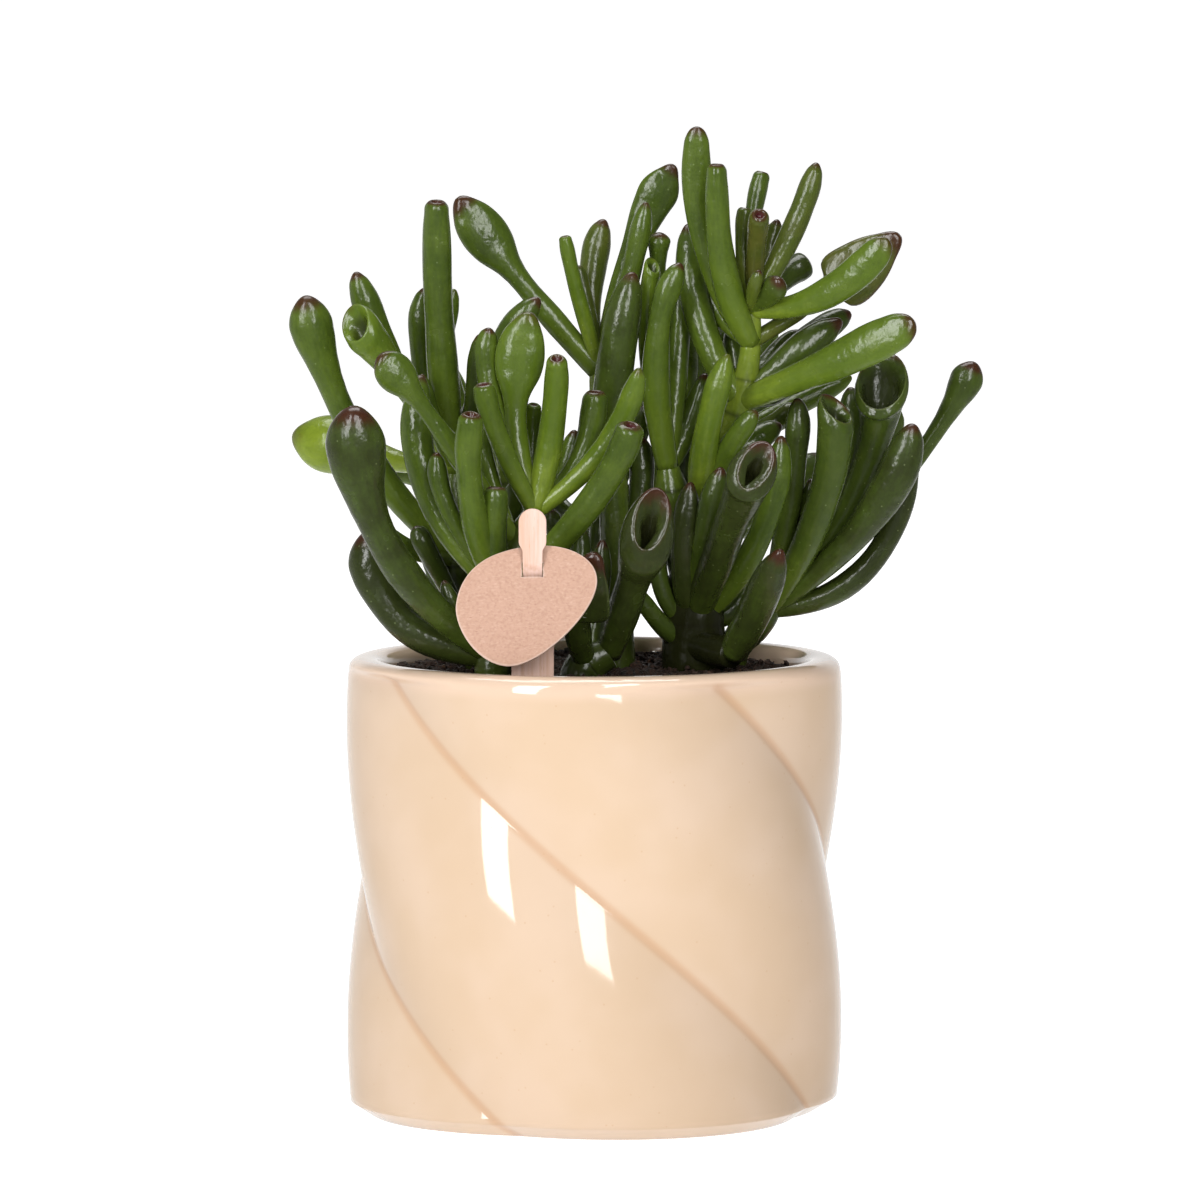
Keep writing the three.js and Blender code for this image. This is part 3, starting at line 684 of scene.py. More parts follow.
@dataclass
class GlazedPot:
    """Four-lobed pot whose lobes wind round it on their way down."""

    lobes: int = 4
    lobe_depth: float = 4.0
    twist: float = math.radians(1.31)  # turn of the lobes for each millimetre of height
    crease_start: float = math.radians(-152.6)
    crease_fade: float = 2.6
    crease_width: float = 0.07
    rim_drop: float = 4.6
    rim_power: float = 2.6
    foot_rise: float = 2.8
    foot_inset: float = 4.2
    rim_band: tuple[float, float] = (6.5, 2.5)  # depths under the top where the paler, pinker colour sets in
    columns: int = 288
    foot_rows: int = 9
    outer_rows: int = 72
    rim_rows: int = 15
    inner_rows: int = 30

    def quarter(self, power: float, steps: int) -> np.ndarray:
        """Draws a quarter of a squared circle.

        Its points are (1 - sin(p) ** (2 / power), 1 - cos(p) ** (2 / power)) for p from 0 to
        a quarter turn, so they run from a full drop with no inset to no drop with a full one.

        Args:
            power: 2 for a plain circle, more for a squarer one.
            steps: Number of points.

        Returns:
            Drop and inset, each from 0 to 1, one row for each point.
        """
        angle = np.linspace(0, TURN / 4, steps)
        drop, inset = np.sin(angle), np.clip(np.cos(angle), 0, 1)
        return 1 - np.column_stack([drop, inset]) ** (2 / power)

    def surface(self) -> Surface:
        """Works out the whole wall.

        The outside is the pot's radius less the lobes' depth times 1 - |sin| of twice
        the angle from a crease, and turns with the height. The inside is a plain cylinder, and
        foot and rim draw both in along quarter rounds.

        Returns:
            The closed surface with its masks.
        """
        foot = self.quarter(2, self.foot_rows)
        rim = self.quarter(self.rim_power, self.rim_rows)
        top = POT_HEIGHT - self.rim_drop
        wall = np.linspace(self.foot_rise, top, self.outer_rows)[1:-1]
        foot_heights = self.foot_rise * (1 - foot[:, 0])
        foot_insets = self.foot_inset * foot[:, 1][::-1]
        heights = np.concatenate([foot_heights, wall, POT_HEIGHT - self.rim_drop * rim[:, 0]])
        insets = np.concatenate([foot_insets, 0 * wall, WALL / 2 * rim[:, 1]])
        inner = np.linspace(top, FLOOR, self.inner_rows)[1:]
        heights = np.concatenate([heights, POT_HEIGHT - self.rim_drop * rim[-2::-1, 0], inner])
        outside = np.arange(len(heights)) < len(insets)
        inner_insets = np.concatenate([WALL / 2 * rim[-2::-1, 1], 0 * inner])
        z = heights[:, None]
        lobe = np.linspace(0, TURN, self.columns, endpoint=False)[None, :]
        across = np.sin(lobe * self.lobes / 2)
        bulge = np.abs(across)
        fade = smoothstep((POT_HEIGHT - z - 1) / self.crease_fade, 0, 1)
        outer = POT_RADIUS - self.lobe_depth * (1 - bulge) * fade
        outer = outer[outside] - insets[:, None]
        inner_radius = POT_RADIUS - WALL + inner_insets[:, None] + 0 * lobe
        radius = np.vstack([outer, inner_radius])
        turn = np.where(outside[:, None], self.twist * (POT_HEIGHT - z), 0)
        angle = self.crease_start + lobe + turn
        points = triple(radius * np.cos(angle), radius * np.sin(angle), z)
        # crease mask: pooled glaze and painted shade along the creases
        crease = np.exp(-((across / self.crease_width) ** 2)) * fade * outside[:, None]
        low, high = self.rim_band
        near_rim = smoothstep(z, POT_HEIGHT - low, POT_HEIGHT - high)
        return Surface(points, {"glaze": triple(crease, near_rim, 0)})

    def build(self) -> None:
        """Makes the pot and glazes it."""
        piece = join_surfaces("glazed_pot", [self.surface()])
        install(piece, "pot", CreamGlaze().make())


# ------------------------------------------------------------------ soil


@dataclass
class SoilFill:
    """Fill of potting soil with loose crumbs on its top."""

    radius: float = POT_RADIUS - WALL - 0.5
    bottom: float = FLOOR + 0.35
    relief: float = 0.7
    ripple_relief: float = 0.35
    ripple_length: float = 3.0
    columns: int = 180
    rings: int = 60
    crumbs: int = 2200
    crumb_sizes: tuple[float, float] = (0.4, 1.15)

    def height(self, x: np.ndarray, y: np.ndarray) -> np.ndarray:
        """Works out the top: a product of two waves across it, and finer ripples on that.

        Args:
            x: Places across the pot, in millimetres.
            y: Places from front to back, in millimetres.

        Returns:
            The height at each place.
        """
        lumps = np.sin(x * 0.9 + y * 0.4) * np.cos(y * 0.8 - x * 0.3)
        fine = ripple(triple(x, y, 0), self.ripple_length, seed=11)
        return SOIL_LEVEL + self.relief * lumps + self.ripple_relief * fine

    def surface(self) -> Surface:
        """Works out the fill: a plain side, and rings of the top that close on its middle.

        Returns:
            The closed surface.
        """
        angle = np.linspace(0, TURN, self.columns, endpoint=False)[None, :]
        share = np.concatenate([[1.0, 1.0], np.linspace(1, 0.02, self.rings)])[:, None]
        radius = share * self.radius
        x, y = radius * np.cos(angle), radius * np.sin(angle)
        z = self.height(x, y)
        z[0] = self.bottom
        z[1] = SOIL_LEVEL - 3
        return Surface(triple(x, y, z))

    def crumb_mesh(self) -> tuple[np.ndarray, np.ndarray]:
        """Scatters crumbs: icosahedra, each stretched, dented and turned by its own amounts.

        Returns:
            Points in millimetres and triangles.
        """
        random = np.random.default_rng(seed=5)
        golden = (1 + math.sqrt(5)) / 2
        signs = [(a, b) for a in (-1, 1) for b in (-golden, golden)]
        corners = [(0, a, b) for a, b in signs] + [(a, b, 0) for a, b in signs]
        corners = unit(np.array(corners + [(b, 0, a) for a, b in signs], dtype=float))
        apart = np.linalg.norm(corners[:, None] - corners[None], axis=-1)
        near = (apart > 0.1) & (apart < 1.2)
        faces = [
            (i, j, k)
            for i in range(12)
            for j in range(i + 1, 12)
            for k in range(j + 1, 12)
            if near[i, j] and near[j, k] and near[i, k]
        ]
        faces = np.array(faces)
        a, b, c = (corners[faces[:, i]] for i in range(3))
        inward = (np.cross(b - a, c - a) * (a + b + c)).sum(axis=1) < 0
        faces[inward] = faces[inward][:, ::-1]

        count = self.crumbs
        reach = (self.radius - 1) * np.sqrt(random.uniform(0, 1, count))
        angle = random.uniform(0, TURN, count)
        x, y = reach * np.cos(angle), reach * np.sin(angle)
        low, high = self.crumb_sizes
        size = low + (high - low) * random.uniform(0, 1, count) ** 2.2
        z = self.height(x, y) + size * random.uniform(-0.4, 0.4, count)
        turns, _ = np.linalg.qr(random.normal(size=(count, 3, 3)))
        turns[:, 0] *= np.sign(np.linalg.det(turns))[:, None]
        stretch = random.uniform(0.65, 1.2, (count, 1, 3))
        dents = random.uniform(0.78, 1.15, (count, 12, 1))
        shapes = (corners[None] * dents * stretch) @ turns * size[:, None, None]
        points = shapes + triple(x, y, z)[:, None]
        triangles = faces[None] + 12 * np.arange(count)[:, None, None]
        return points.reshape(-1, 3), triangles.reshape(-1, 3)

    def build(self) -> None:
        """Makes the fill and its crumbs."""
        finish = PottingSoil().make()
        install(join_surfaces("soil_fill", [self.surface()]), "soil", finish)
        points, triangles = self.crumb_mesh()
        none = np.empty((0, 4), dtype=int)
        piece = make_mesh("soil_crumbs", points, none, triangles, {}, smooth=False)
        install(piece, "soil", finish)


# ------------------------------------------------------------------ pick and tag


@dataclass
class WoodenPick:
    """Flat stick with a round head, a waist at the tag's slit and a blade stuck in the soil."""

    thickness: float = 0.9
    tip: float = 62.0
    top: float = 136.6
    head_radius: float = 3.0
    waist: float = 2.15
    blade: float = 4.6
    point: float = 0.8
    blade_end: float = 82.0
    blade_ease: tuple[float, float] = (SLIT_HEIGHT - 8, SLIT_HEIGHT - 3)
    neck_ease: tuple[float, float] = (SLIT_HEIGHT + 4, SLIT_HEIGHT + 6)
    step_ease: tuple[float, float] = (SLIT_HEIGHT - 1.9, SLIT_HEIGHT + 1.9)
    squareness: float = 0.25
    columns: int = 48
    rows: int = 130
    head_rows: int = 24

    def half_width(self, z: np.ndarray) -> np.ndarray:
        """Works out half the width: eased from blade to waist to head, and pointed below.

        Args:
            z: Heights in millimetres.

        Returns:
            Half the width at each height.
        """
        middle = self.top - self.head_radius
        head = np.sqrt(np.clip(self.head_radius**2 - (z - middle) ** 2, 0.05, None))
        share = smoothstep(z, *self.neck_ease)
        neck = self.waist + (self.head_radius - self.waist) * share
        share = smoothstep(z, *self.blade_ease)
        blade = self.blade + (self.waist - self.blade) * share
        point = np.interp(z, [self.tip, self.blade_end], [self.point, self.blade])
        widths = [head, neck, blade]
        return np.select([z > middle, z > SLIT_HEIGHT, z > self.blade_end], widths, point)

    def surface(self) -> Surface:
        """Works out the board: a rounded rectangle carried upwards.

        The section is the cosine and sine of its angle, each to the power of squareness with
        its sign kept, times half the width and half the thickness. Its middle plane steps
        forward at the slit.

        Returns:
            The closed surface.
        """
        middle = self.top - self.head_radius
        rise = middle + self.head_radius * np.sin(np.linspace(0, TURN / 4, self.head_rows))
        z = np.concatenate([np.linspace(self.tip, middle, self.rows)[:-1], rise])[:, None]
        angle = np.linspace(0, TURN, self.columns, endpoint=False)[None, :]
        across, through = np.cos(angle), np.sin(angle)
        across = np.sign(across) * np.abs(across) ** self.squareness
        through = np.sign(through) * np.abs(through) ** self.squareness
        shift = smoothstep(z, *self.step_ease)
        x = PICK_X + self.half_width(z) * across
        y = PICK_Y - PICK_STEP * shift + self.thickness / 2 * through
        return Surface(triple(x, y, z))

    def build(self) -> None:
        """Makes the pick."""
        piece = join_surfaces("wooden_pick", [self.surface()])
        install(piece, "pick", BirchWood().make())


@dataclass
class CardTag:
    """Pebble-shaped card hung on the pick's waist by a slit, with nothing printed on it."""

    thickness: float = 0.8
    lean: float = math.radians(13)
    turn: float = math.radians(-4)
    slit: tuple[float, float] = (5.0, 3.4)
    soft: float = 0.12  # how far its cut edges bulge
    warp: float = 0.25
    columns: int = 360
    rings: int = 30
    edge_rows: int = 9
    outline: tuple[tuple[float, float], ...] = (
        (-8.4, 3.2), (-13.2, 1.2), (-16.2, -2.8), (-16.6, -8.2), (-16.6, -13.5), (-11.5, -20.9),
        (-5, -21.2), (1.8, -21.4), (13.9, -9.6), (14.1, -2.6), (14.2, 2.4), (8.6, 5), (3.4, 5.3),
        (-0.6, 5.5), (-4.8, 4.7), (-8.4, 3.2),
    )  # corners and handles of five Bezier arcs, from the top left, anticlockwise

    def reach(self, angle: np.ndarray) -> np.ndarray:
        """Measures from the slit's middle to the outline.

        Args:
            angle: Directions to measure along.

        Returns:
            The distance in each direction.
        """
        handles = np.array(self.outline)
        t = np.linspace(0, 1, 60)[:, None]
        arcs = [
            (1 - t) ** 3 * a + 3 * t * (1 - t) ** 2 * b + 3 * t * t * (1 - t) * c + t**3 * d
            for a, b, c, d in (handles[i : i + 4] for i in range(0, 15, 3))
        ]
        x, y = np.vstack(arcs).T
        order = np.argsort(np.arctan2(y, x))
        bearings, reaches = np.arctan2(y, x)[order], np.hypot(x, y)[order]
        return np.interp(angle, bearings, reaches, period=TURN)

    def surface(self) -> Surface:
        """Works out the card as a ring about its slit.

        Each ray from the slit's middle runs from the slit's edge to the outline on the front,
        round the cut edge, back to the slit on the rear, and through the slit's wall.

        Returns:
            The closed surface with its mask.
        """
        half_wide, half_tall = self.slit[0] / 2, self.slit[1] / 2
        angle = np.linspace(0, TURN, self.columns, endpoint=False)
        c, s = np.abs(np.cos(angle)), np.abs(np.sin(angle))
        hole = np.minimum(half_wide / np.maximum(c, 1e-6), half_tall / np.maximum(s, 1e-6))
        fray = ripple(triple(30 * np.cos(angle), 30 * np.sin(angle), 0), 6, seed=3)
        hole = hole - self.soft - self.soft * fray
        rim = self.reach(angle) - self.soft
        share = np.linspace(0, 1, self.rings)
        turn = np.linspace(0, TURN / 2, self.edge_rows)[1:-1]
        half = self.thickness / 2
        across = np.concatenate([share, 1 + 0 * turn, share[::-1], 0 * turn])[:, None]
        bow = np.sin(turn) * self.soft
        outward = np.concatenate([0 * share, bow, 0 * share, -bow])[:, None]
        edge = half * np.cos(turn)
        depth = np.concatenate([half + 0 * share, edge, -half + 0 * share, -edge])
        radius = hole + (rim - hole) * across + outward
        x, y = radius * np.cos(angle), radius * np.sin(angle)
        warp = self.warp * np.sin(x / 9 + 0.6) * np.cos(y / 11) * smoothstep(radius, 4, 12)
        z = depth[:, None] + warp
        lean = TURN / 4 - self.lean
        y, z = y * math.cos(lean) - z * math.sin(lean), y * math.sin(lean) + z * math.cos(lean)
        c, s = math.cos(self.turn), math.sin(self.turn)
        x, y = x * c - y * s, x * s + y * c
        points = triple(x + PICK_X, y + PICK_Y - PICK_STEP / 2, z + SLIT_HEIGHT)
        cut = smoothstep(np.abs(across - 0.5), 0.47, 0.5) + 0 * x
        return Surface(points, {"card": triple(cut, 0, 0)}, looped=True)

    def build(self) -> None:
        """Makes the tag."""
        piece = join_surfaces("card_tag", [self.surface()])
        install(piece, "tag", KraftCard().make())


# ------------------------------------------------------------------ leaves


class LeafKind(Enum):
    """Forms that a leaf takes, each as its stations (t, k, h, f, flat).

    A station lies at t times the leaf's length plus k half head widths. Its half width runs
    from neck (h = 0) to head (h = 1), times f, and its half thickness is flat times that.
    """

    FINGER = (  # blunt rod whose end has a dimple
        (0, 0, 0, 0.72, 1), (0.3, 0, 0, 1, 1), (0.68, 0, 0.55, 1, 1), (1, -1.1, 1, 1, 1),
        (1, -0.3, 1, 0.88, 1), (1, 0, 1, 0.58, 1), (1, -0.5, 1, 0, 1),
    )
    CLUB = (  # round-headed club
        (0, 0, 0, 0.8, 1), (0.34, 0, 0, 1, 1), (1, -3.1, 0.35, 1, 0.93), (1, -1.9, 0.93, 1, 0.84),
        (1, -1.2, 1, 1, 0.8), (1, -0.5, 1, 0.7, 0.78), (1, 0, 1, 0, 1),
    )
    SPOON = (  # flattened blade with a soft point
        (0, 0, 0, 0.9, 0.95), (0.28, 0, 0, 1, 0.85), (0.54, 0, 0.25, 1, 0.68),
        (1, -2.8, 0.9, 1, 0.54), (1, -1.6, 1, 1, 0.5), (1, -0.7, 1, 0.62, 0.48), (1, 0, 1, 0, 1),
    )
    FLAME = (  # slim stalk with a short, broad, pointed head
        (0, 0, 0, 0.85, 1), (0.3, 0, 0, 1, 1), (1, -3.6, 0.12, 1, 0.9), (1, -2.5, 0.88, 1, 0.66),
        (1, -1.7, 1, 1, 0.62), (1, -0.7, 1, 0.74, 0.6), (1, 0, 1, 0, 1),
    )
    TAPER = (  # plain leaf that narrows to its tip
        (0, 0, 0, 0.75, 1), (0.3, 0, 0, 1, 1), (0.65, 0, 1, 1, 0.94), (1, -1.7, 1, 0.9, 0.88),
        (1, -0.6, 1, 0.56, 0.88), (1, 0, 1, 0, 1),
    )
    PADDLE = (  # long broad blade with a blunt end
        (0, 0, 0, 0.85, 0.95), (0.3, 0, 0.2, 1, 0.86), (0.62, 0, 0.85, 1, 0.74),
        (1, -1.7, 1, 1, 0.68), (1, -0.7, 1, 0.82, 0.66), (1, -0.15, 1, 0.44, 0.7), (1, 0, 1, 0, 1),
    )
    CUP = (  # tube whose slanted mouth is rolled in at the lip
        (0, 0, 0, 0.8, 1), (0.34, 0, 0, 1, 1), (0.64, 0, 0.35, 1, 1), (1, -1.5, 0.9, 1, 0.95),
        (1, -0.35, 1, 1, 0.95), (1, 0, 1, 0.86, 0.95), (1, -0.2, 1, 0.66, 0.95),
        (1, -1.1, 1, 0.4, 0.95), (1, -1.6, 1, 0, 1),
    )
    SPLIT = (  # tube with thick lips, whose mouth is a drop that narrows down its front
        (0, 0, 0, 0.8, 1), (0.34, 0, 0, 1, 1), (0.62, 0, 0.15, 1, 1), (1, -1.7, 0.8, 1, 0.95),
        (1, -0.5, 1, 1, 0.95), (1, 0, 1, 0.64, 1.22), (1, -0.34, 1, 0.34, 1.8),
        (1, -1.0, 1, 0.24, 2.0), (1, -2.2, 1, 0, 1),
    )
    TRUMPET = (  # tube that flares to a wide open mouth
        (0, 0, 0, 0.8, 1), (0.4, 0, 0, 1, 1), (0.7, 0, 0.2, 1, 1), (1, -1, 0.7, 1, 1),
        (1, -0.12, 1, 1, 1), (1, 0, 1, 0.93, 1), (1, -0.14, 1, 0.82, 1),
        (1, -0.75, 1, 0.52, 1), (1, -1.15, 1, 0, 1),
    )


FINGER, CLUB, SPOON, FLAME, TAPER, PADDLE, CUP, SPLIT, TRUMPET = LeafKind
LIP = 5  # station at the lip of a mouth or dimple
PINCH = 0.7  # how far the lower end of a split mouth is drawn together
DISH = {SPOON: 0.2, FLAME: 0.12, PADDLE: 0.14}  # how far the front of a blade is hollowed


class Tone(Enum):
    """Colouring of a leaf: its shade from dark to bright, and its warmth."""

    SLATE = (-0.36, 0.2)
    DEEP = (-0.18, 0.35)
    GREEN = (0.02, 0.3)
    BRIGHT = (0.2, 0.25)
    LIME = (0.45, 0.3)
    OLIVE = (0.0, 0.8)
    RUSSET = (-0.15, 1.3)


SLATE, DEEP, GREEN, BRIGHT, LIME, OLIVE, RUSSET = Tone


@dataclass(frozen=True)
class Bend:
    """Parabola from a leaf's root to its tip: (1 - s)^2 root + 2 s (1 - s) knee + s^2 tip."""

    root: np.ndarray
    knee: np.ndarray
    tip: np.ndarray

    def places(self, s: np.ndarray) -> np.ndarray:
        """Works out the points at shares s of the way, from 0 to 1."""
        return (1 - s) ** 2 * self.root + 2 * s * (1 - s) * self.knee + s**2 * self.tip

    def ahead(self, s: np.ndarray) -> np.ndarray:
        """Works out the way that the curve runs at shares s of it."""
        return unit((1 - s) * (self.knee - self.root) + s * (self.tip - self.knee))

    def length(self) -> float:
        """Adds up 199 short chords of the curve."""
        chords = np.diff(self.places(np.linspace(0, 1, 200)[:, None]), axis=0)
        return np.linalg.norm(chords, axis=1).sum()


@dataclass(frozen=True)
class Leaf:
    """One leaf: its form, the stem point it grows from, its path and its widths."""

    kind: LeafKind
    root: int
    middle: Point
    tip: Point
    neck: float
    head: float
    tone: Tone
    mouth: Point | None = None

    sides: ClassVar[int] = 28
    steps: ClassVar[int] = 7
    wave_heights: ClassVar[tuple[float, float]] = (0.026, 0.022)
    wave_lengths: ClassVar[tuple[float, float]] = (3.4, 7.0)  # millimetres for each radian

    def rows(self, length: float) -> tuple[np.ndarray, np.ndarray, np.ndarray, np.ndarray]:
        """Works out the leaf's rows, on a smooth line through its stations.

        Args:
            length: The leaf's whole length.

        Returns:
            For each row its station number, with its fraction, its way along the leaf, half
            its width and half its thickness.
        """
        t, k, h, f, flats = np.array(self.kind.value, dtype=float).T
        half = self.head / 2
        share = np.maximum(t + k * half / length, 0)
        widths = (self.neck + (self.head - self.neck) * h) / 2 * f
        knots = np.column_stack([share * length, widths])
        profile = flow(knots, self.steps, 2, np.array([0.0, -1.0]))
        order = np.arange(len(profile))[:-1] / self.steps
        distance, wide = profile[:-1].T
        wide = np.maximum(wide, 0.02)
        return order, distance, wide, wide * np.interp(order, np.arange(len(flats)), flats)

    def section(
        self,
        order: np.ndarray,
        wide: np.ndarray,
        thick: np.ndarray,
        angle: np.ndarray,
        swell: np.ndarray,
    ) -> tuple[np.ndarray, np.ndarray]:
        """Works out the rows' outlines.

        Each is an ellipse times its swell. Its front is hollowed by a share of sin^2 on a
        blade, and drawn together inside a split mouth.

        Args:
            order: Station number of each row.
            wide: Half the width of each row.
            thick: Half the thickness of each row.
            angle: Angle of each column round the leaf.
            swell: How much each point is pushed out.

        Returns:
            How far each point lies to the side of the leaf's middle, and to its front.
        """
        facing = np.clip(np.sin(angle), 0, 1)
        pinch = PINCH * smoothstep(order, LIP, LIP + 1)[:, None] * (self.kind is SPLIT)
        sideways = wide[:, None] * np.cos(angle) * (1 - pinch * facing) * swell
        forward = thick[:, None] * np.sin(angle) * swell
        gate = smoothstep(order, 1.5, 3.2)[:, None]
        hollow = DISH.get(self.kind, 0.0) * gate * facing**2
        return sideways, forward - wide[:, None] * hollow

    def slant(self, out: np.ndarray, order: np.ndarray, ahead: np.ndarray) -> np.ndarray:
        """Slides the last rows along the leaf, until they lie square to the mouth's way.

        Args:
            out: Each point's way from the leaf's middle.
            order: Station number of each row.
            ahead: Way that the leaf runs at each row.

        Returns:
            The ways out, with the slide added.
        """
        gape = unit(np.array(self.mouth, float))
        share = np.clip(order - 2, 0, 2)[:, None] / 2
        slide = -(out @ gape) / np.maximum(ahead @ gape, 0.3)[:, None]
        return out + (slide * share)[..., None] * ahead[:, None]

    def surface(self, start: Point, face: Point, seed: int) -> Surface:
        """Works out the leaf: its section carried along the curve from its root to its tip.

        The curve is the parabola that passes the middle half way. Two sine waves swell the
        leaf a little, and a slanted mouth slides its end.

        Args:
            start: The stem point that the leaf grows from.
            face: Way that the leaf's broad side looks.
            seed: Picks the leaf's own small irregularities.

        Returns:
            The closed surface with its masks.
        """
        a, b, c = np.array(start, float), np.array(self.middle, float), np.array(self.tip, float)
        bend = Bend(a, 2 * b - (a + c) / 2, c)
        length = bend.length()
        order, distance, wide, thick = self.rows(length)
        s = np.clip(distance / length, 0, 1)[:, None]
        ahead = bend.ahead(s)
        look = unit(np.array(face, float))
        front = unit(look - (ahead @ look)[:, None] * ahead)
        side = np.cross(front, ahead)

        angle = np.linspace(0, TURN, self.sides, endpoint=False)[None, :]
        random = np.random.default_rng(seed)
        phase, sway = random.uniform(0, TURN, 2)
        (high, low), (short, long) = self.wave_heights, self.wave_lengths
        swell = 1 + high * np.sin(distance[:, None] / short + phase + np.cos(angle + sway))
        swell = swell + low * np.sin(2 * angle + distance[:, None] / long + sway)
        sideways, forward = self.section(order, wide, thick, angle, swell)
        out = sideways[..., None] * side[:, None] + forward[..., None] * front[:, None]
        if self.mouth:
            out = self.slant(out, order, ahead)
        masks = self.masks(order, distance, length, angle, random)
        along = distance[:, None] * 0.16 + 50 * phase
        masks["grain"] = triple(sideways, forward, along)
        return Surface(bend.places(s)[:, None] + out, masks)

    def masks(
        self,
        order: np.ndarray,
        distance: np.ndarray,
        length: float,
        angle: np.ndarray,
        random: np.random.Generator,
    ) -> dict[str, np.ndarray]:
        """Works out where the leaf is red, hollow, pale or edged.

        Args:
            order: Station number of each row, with its fraction.
            distance: Way along the leaf of each row.
            length: The leaf's whole length.
            angle: Angle of each column round the leaf.
            random: The leaf's own random numbers.

        Returns:
            The masks growth (0, tip, cave), tint (shade, warmth, paling) and edges
            (edge, bark, shadow of a mouth).
        """
        shade, warmth = self.tone.value
        order, distance = order[:, None], distance[:, None]
        blush = random.uniform(0.6, 1.0) - 0.35 * (self.tone in (BRIGHT, LIME))
        tip = blush * smoothstep(distance, length - 0.4 * self.head - 0.8, length + 0.2)
        cave = edge = depth = 0 * tip
        if self.kind is FINGER:
            tip = blush * smoothstep(order, LIP - 1.2, LIP + 0.2)
            cave = smoothstep(order, LIP + 0.1, LIP + 0.7)
            edge = 0.4 * np.exp(-(((order - LIP) / 0.25) ** 2))
        elif self.mouth:
            lip = np.exp(-(((order - LIP) / 0.3) ** 2))
            hood = smoothstep(order, LIP - 1.6, LIP - 0.4)
            hood = hood * smoothstep(order, LIP + 1.4, LIP + 0.4)
            hooded = 0.5 if self.kind is SPLIT else 0.5 * blush
            tip = 0.3 * blush * lip + hooded * hood * smoothstep(-np.sin(angle), 0.1, 0.9)
            edge = 0.3 * lip * (self.kind is not SPLIT)
            # painted shade deep inside the mouth, strongest in a split
            depth = smoothstep(order, LIP + 0.5, LIP + 1.8) * (1.0 if self.kind is SPLIT else 0.8)
        elif self.kind in DISH:
            rimmed = smoothstep(order, 1.5, 3) * smoothstep(np.abs(np.cos(angle)), 0.94, 1.0)
            burnt = 0.5 * blush * smoothstep(distance / length, 0.7, 0.95)
            burnt = np.maximum(0.6 * (warmth > 0.6), burnt)
            tip = tip + rimmed * burnt
            edge = 0.35 * rimmed * (warmth < 0.6)
        paling = (0.55 + 0.5 * shade) * smoothstep(distance / length, 0.6, 0.02)
        shade = shade + 0.3 * paling + random.uniform(-0.06, 0.06)
        return {
            "growth": triple(0 * angle, tip, cave),
            "tint": triple(shade + 0 * angle, warmth, paling),
            "edges": triple(edge + 0 * angle, 0, depth),
        }


# ------------------------------------------------------------------ leafy stems


@dataclass
class LeafyStem:
    """One shoot of the plant: its stems, with the leaves that grow from them.

    The roots of the leaves are numbered through all of the shoot's stem points.
    """

    name: str
    face: Point
    stems: list[list[StemPoint]]
    leaves: list[Leaf]

    sides: ClassVar[int] = 26
    ring_gap: ClassVar[float] = 7.0
    ring_width: ClassVar[float] = 1.3
    joint_width: ClassVar[float] = 0.5
    ring_height: ClassVar[float] = 0.05

    def stem_surface(self, knots: list[StemPoint], seed: int) -> Surface:
        """Works out one stem: a round section carried along a smooth line through its points.

        Rings where old leaves fell swell it every ring_gap millimetres or so.

        Args:
            knots: Points with their radius.
            seed: Picks the small irregularities.

        Returns:
            The closed surface with its masks.
        """
        curve = flow(np.array(knots, dtype=float), 16, 3)
        centre, radius = curve[:, :3], curve[:, 3]
        ahead = unit(np.gradient(centre, axis=0))
        side = unit(np.cross(np.array([0.0, 1.0, 0.0]), ahead))
        back = np.cross(ahead, side)
        steps = np.linalg.norm(np.diff(centre, axis=0), axis=1)
        distance = np.concatenate([[0], np.cumsum(steps)])
        angle = np.linspace(0, TURN, self.sides, endpoint=False)[None, :]
        phase = (distance + 1.5 * np.sin(distance / 9 + seed)) % self.ring_gap - self.ring_gap / 2
        joint = np.exp(-((phase / self.joint_width) ** 2))
        ring = np.exp(-((phase / self.ring_width) ** 2))
        swell = 1 + self.ring_height * ring - self.ring_height * joint
        lumps = 1 + 0.03 * np.sin(3 * angle + distance[:, None] / 6 + seed)
        reach = (radius * swell)[:, None] * lumps
        wide, deep = reach * np.cos(angle), reach * np.sin(angle)
        out = wide[..., None] * side[:, None] + deep[..., None] * back[:, None]
        height = centre[:, 2][:, None] + 0 * angle
        woody = np.maximum(smoothstep(radius, 3.9, 5.4), 0.8 * (len(knots) == 2))
        bark = smoothstep(height, 140, 100) * woody[:, None]
        fresh = smoothstep(height, 115, 165)
        return Surface(
            centre[:, None] + out,
            {
                "growth": triple(0 * height, 0, 0),
                "tint": triple(0.65 * fresh - 0.2, 0.5, 0.5 * fresh),
                "edges": triple(0 * height, bark, joint[:, None] * 0.8),
                "grain": triple(wide, deep, distance[:, None] * 0.2 + seed),
            },
        )

    def build(self, finish: bpy.types.Material) -> None:
        """Makes the shoot.

        Args:
            finish: The leaf skin that all shoots share.
        """
        seed = sum(ord(letter) for letter in self.name)
        surfaces = [self.stem_surface(stem, seed + i) for i, stem in enumerate(self.stems)]
        roots = [point[:3] for stem in self.stems for point in stem]
        for number, leaf in enumerate(self.leaves):
            surfaces.append(leaf.surface(roots[leaf.root], self.face, seed * 100 + number))
        install(join_surfaces(self.name + "_leaves", surfaces), self.name, finish)


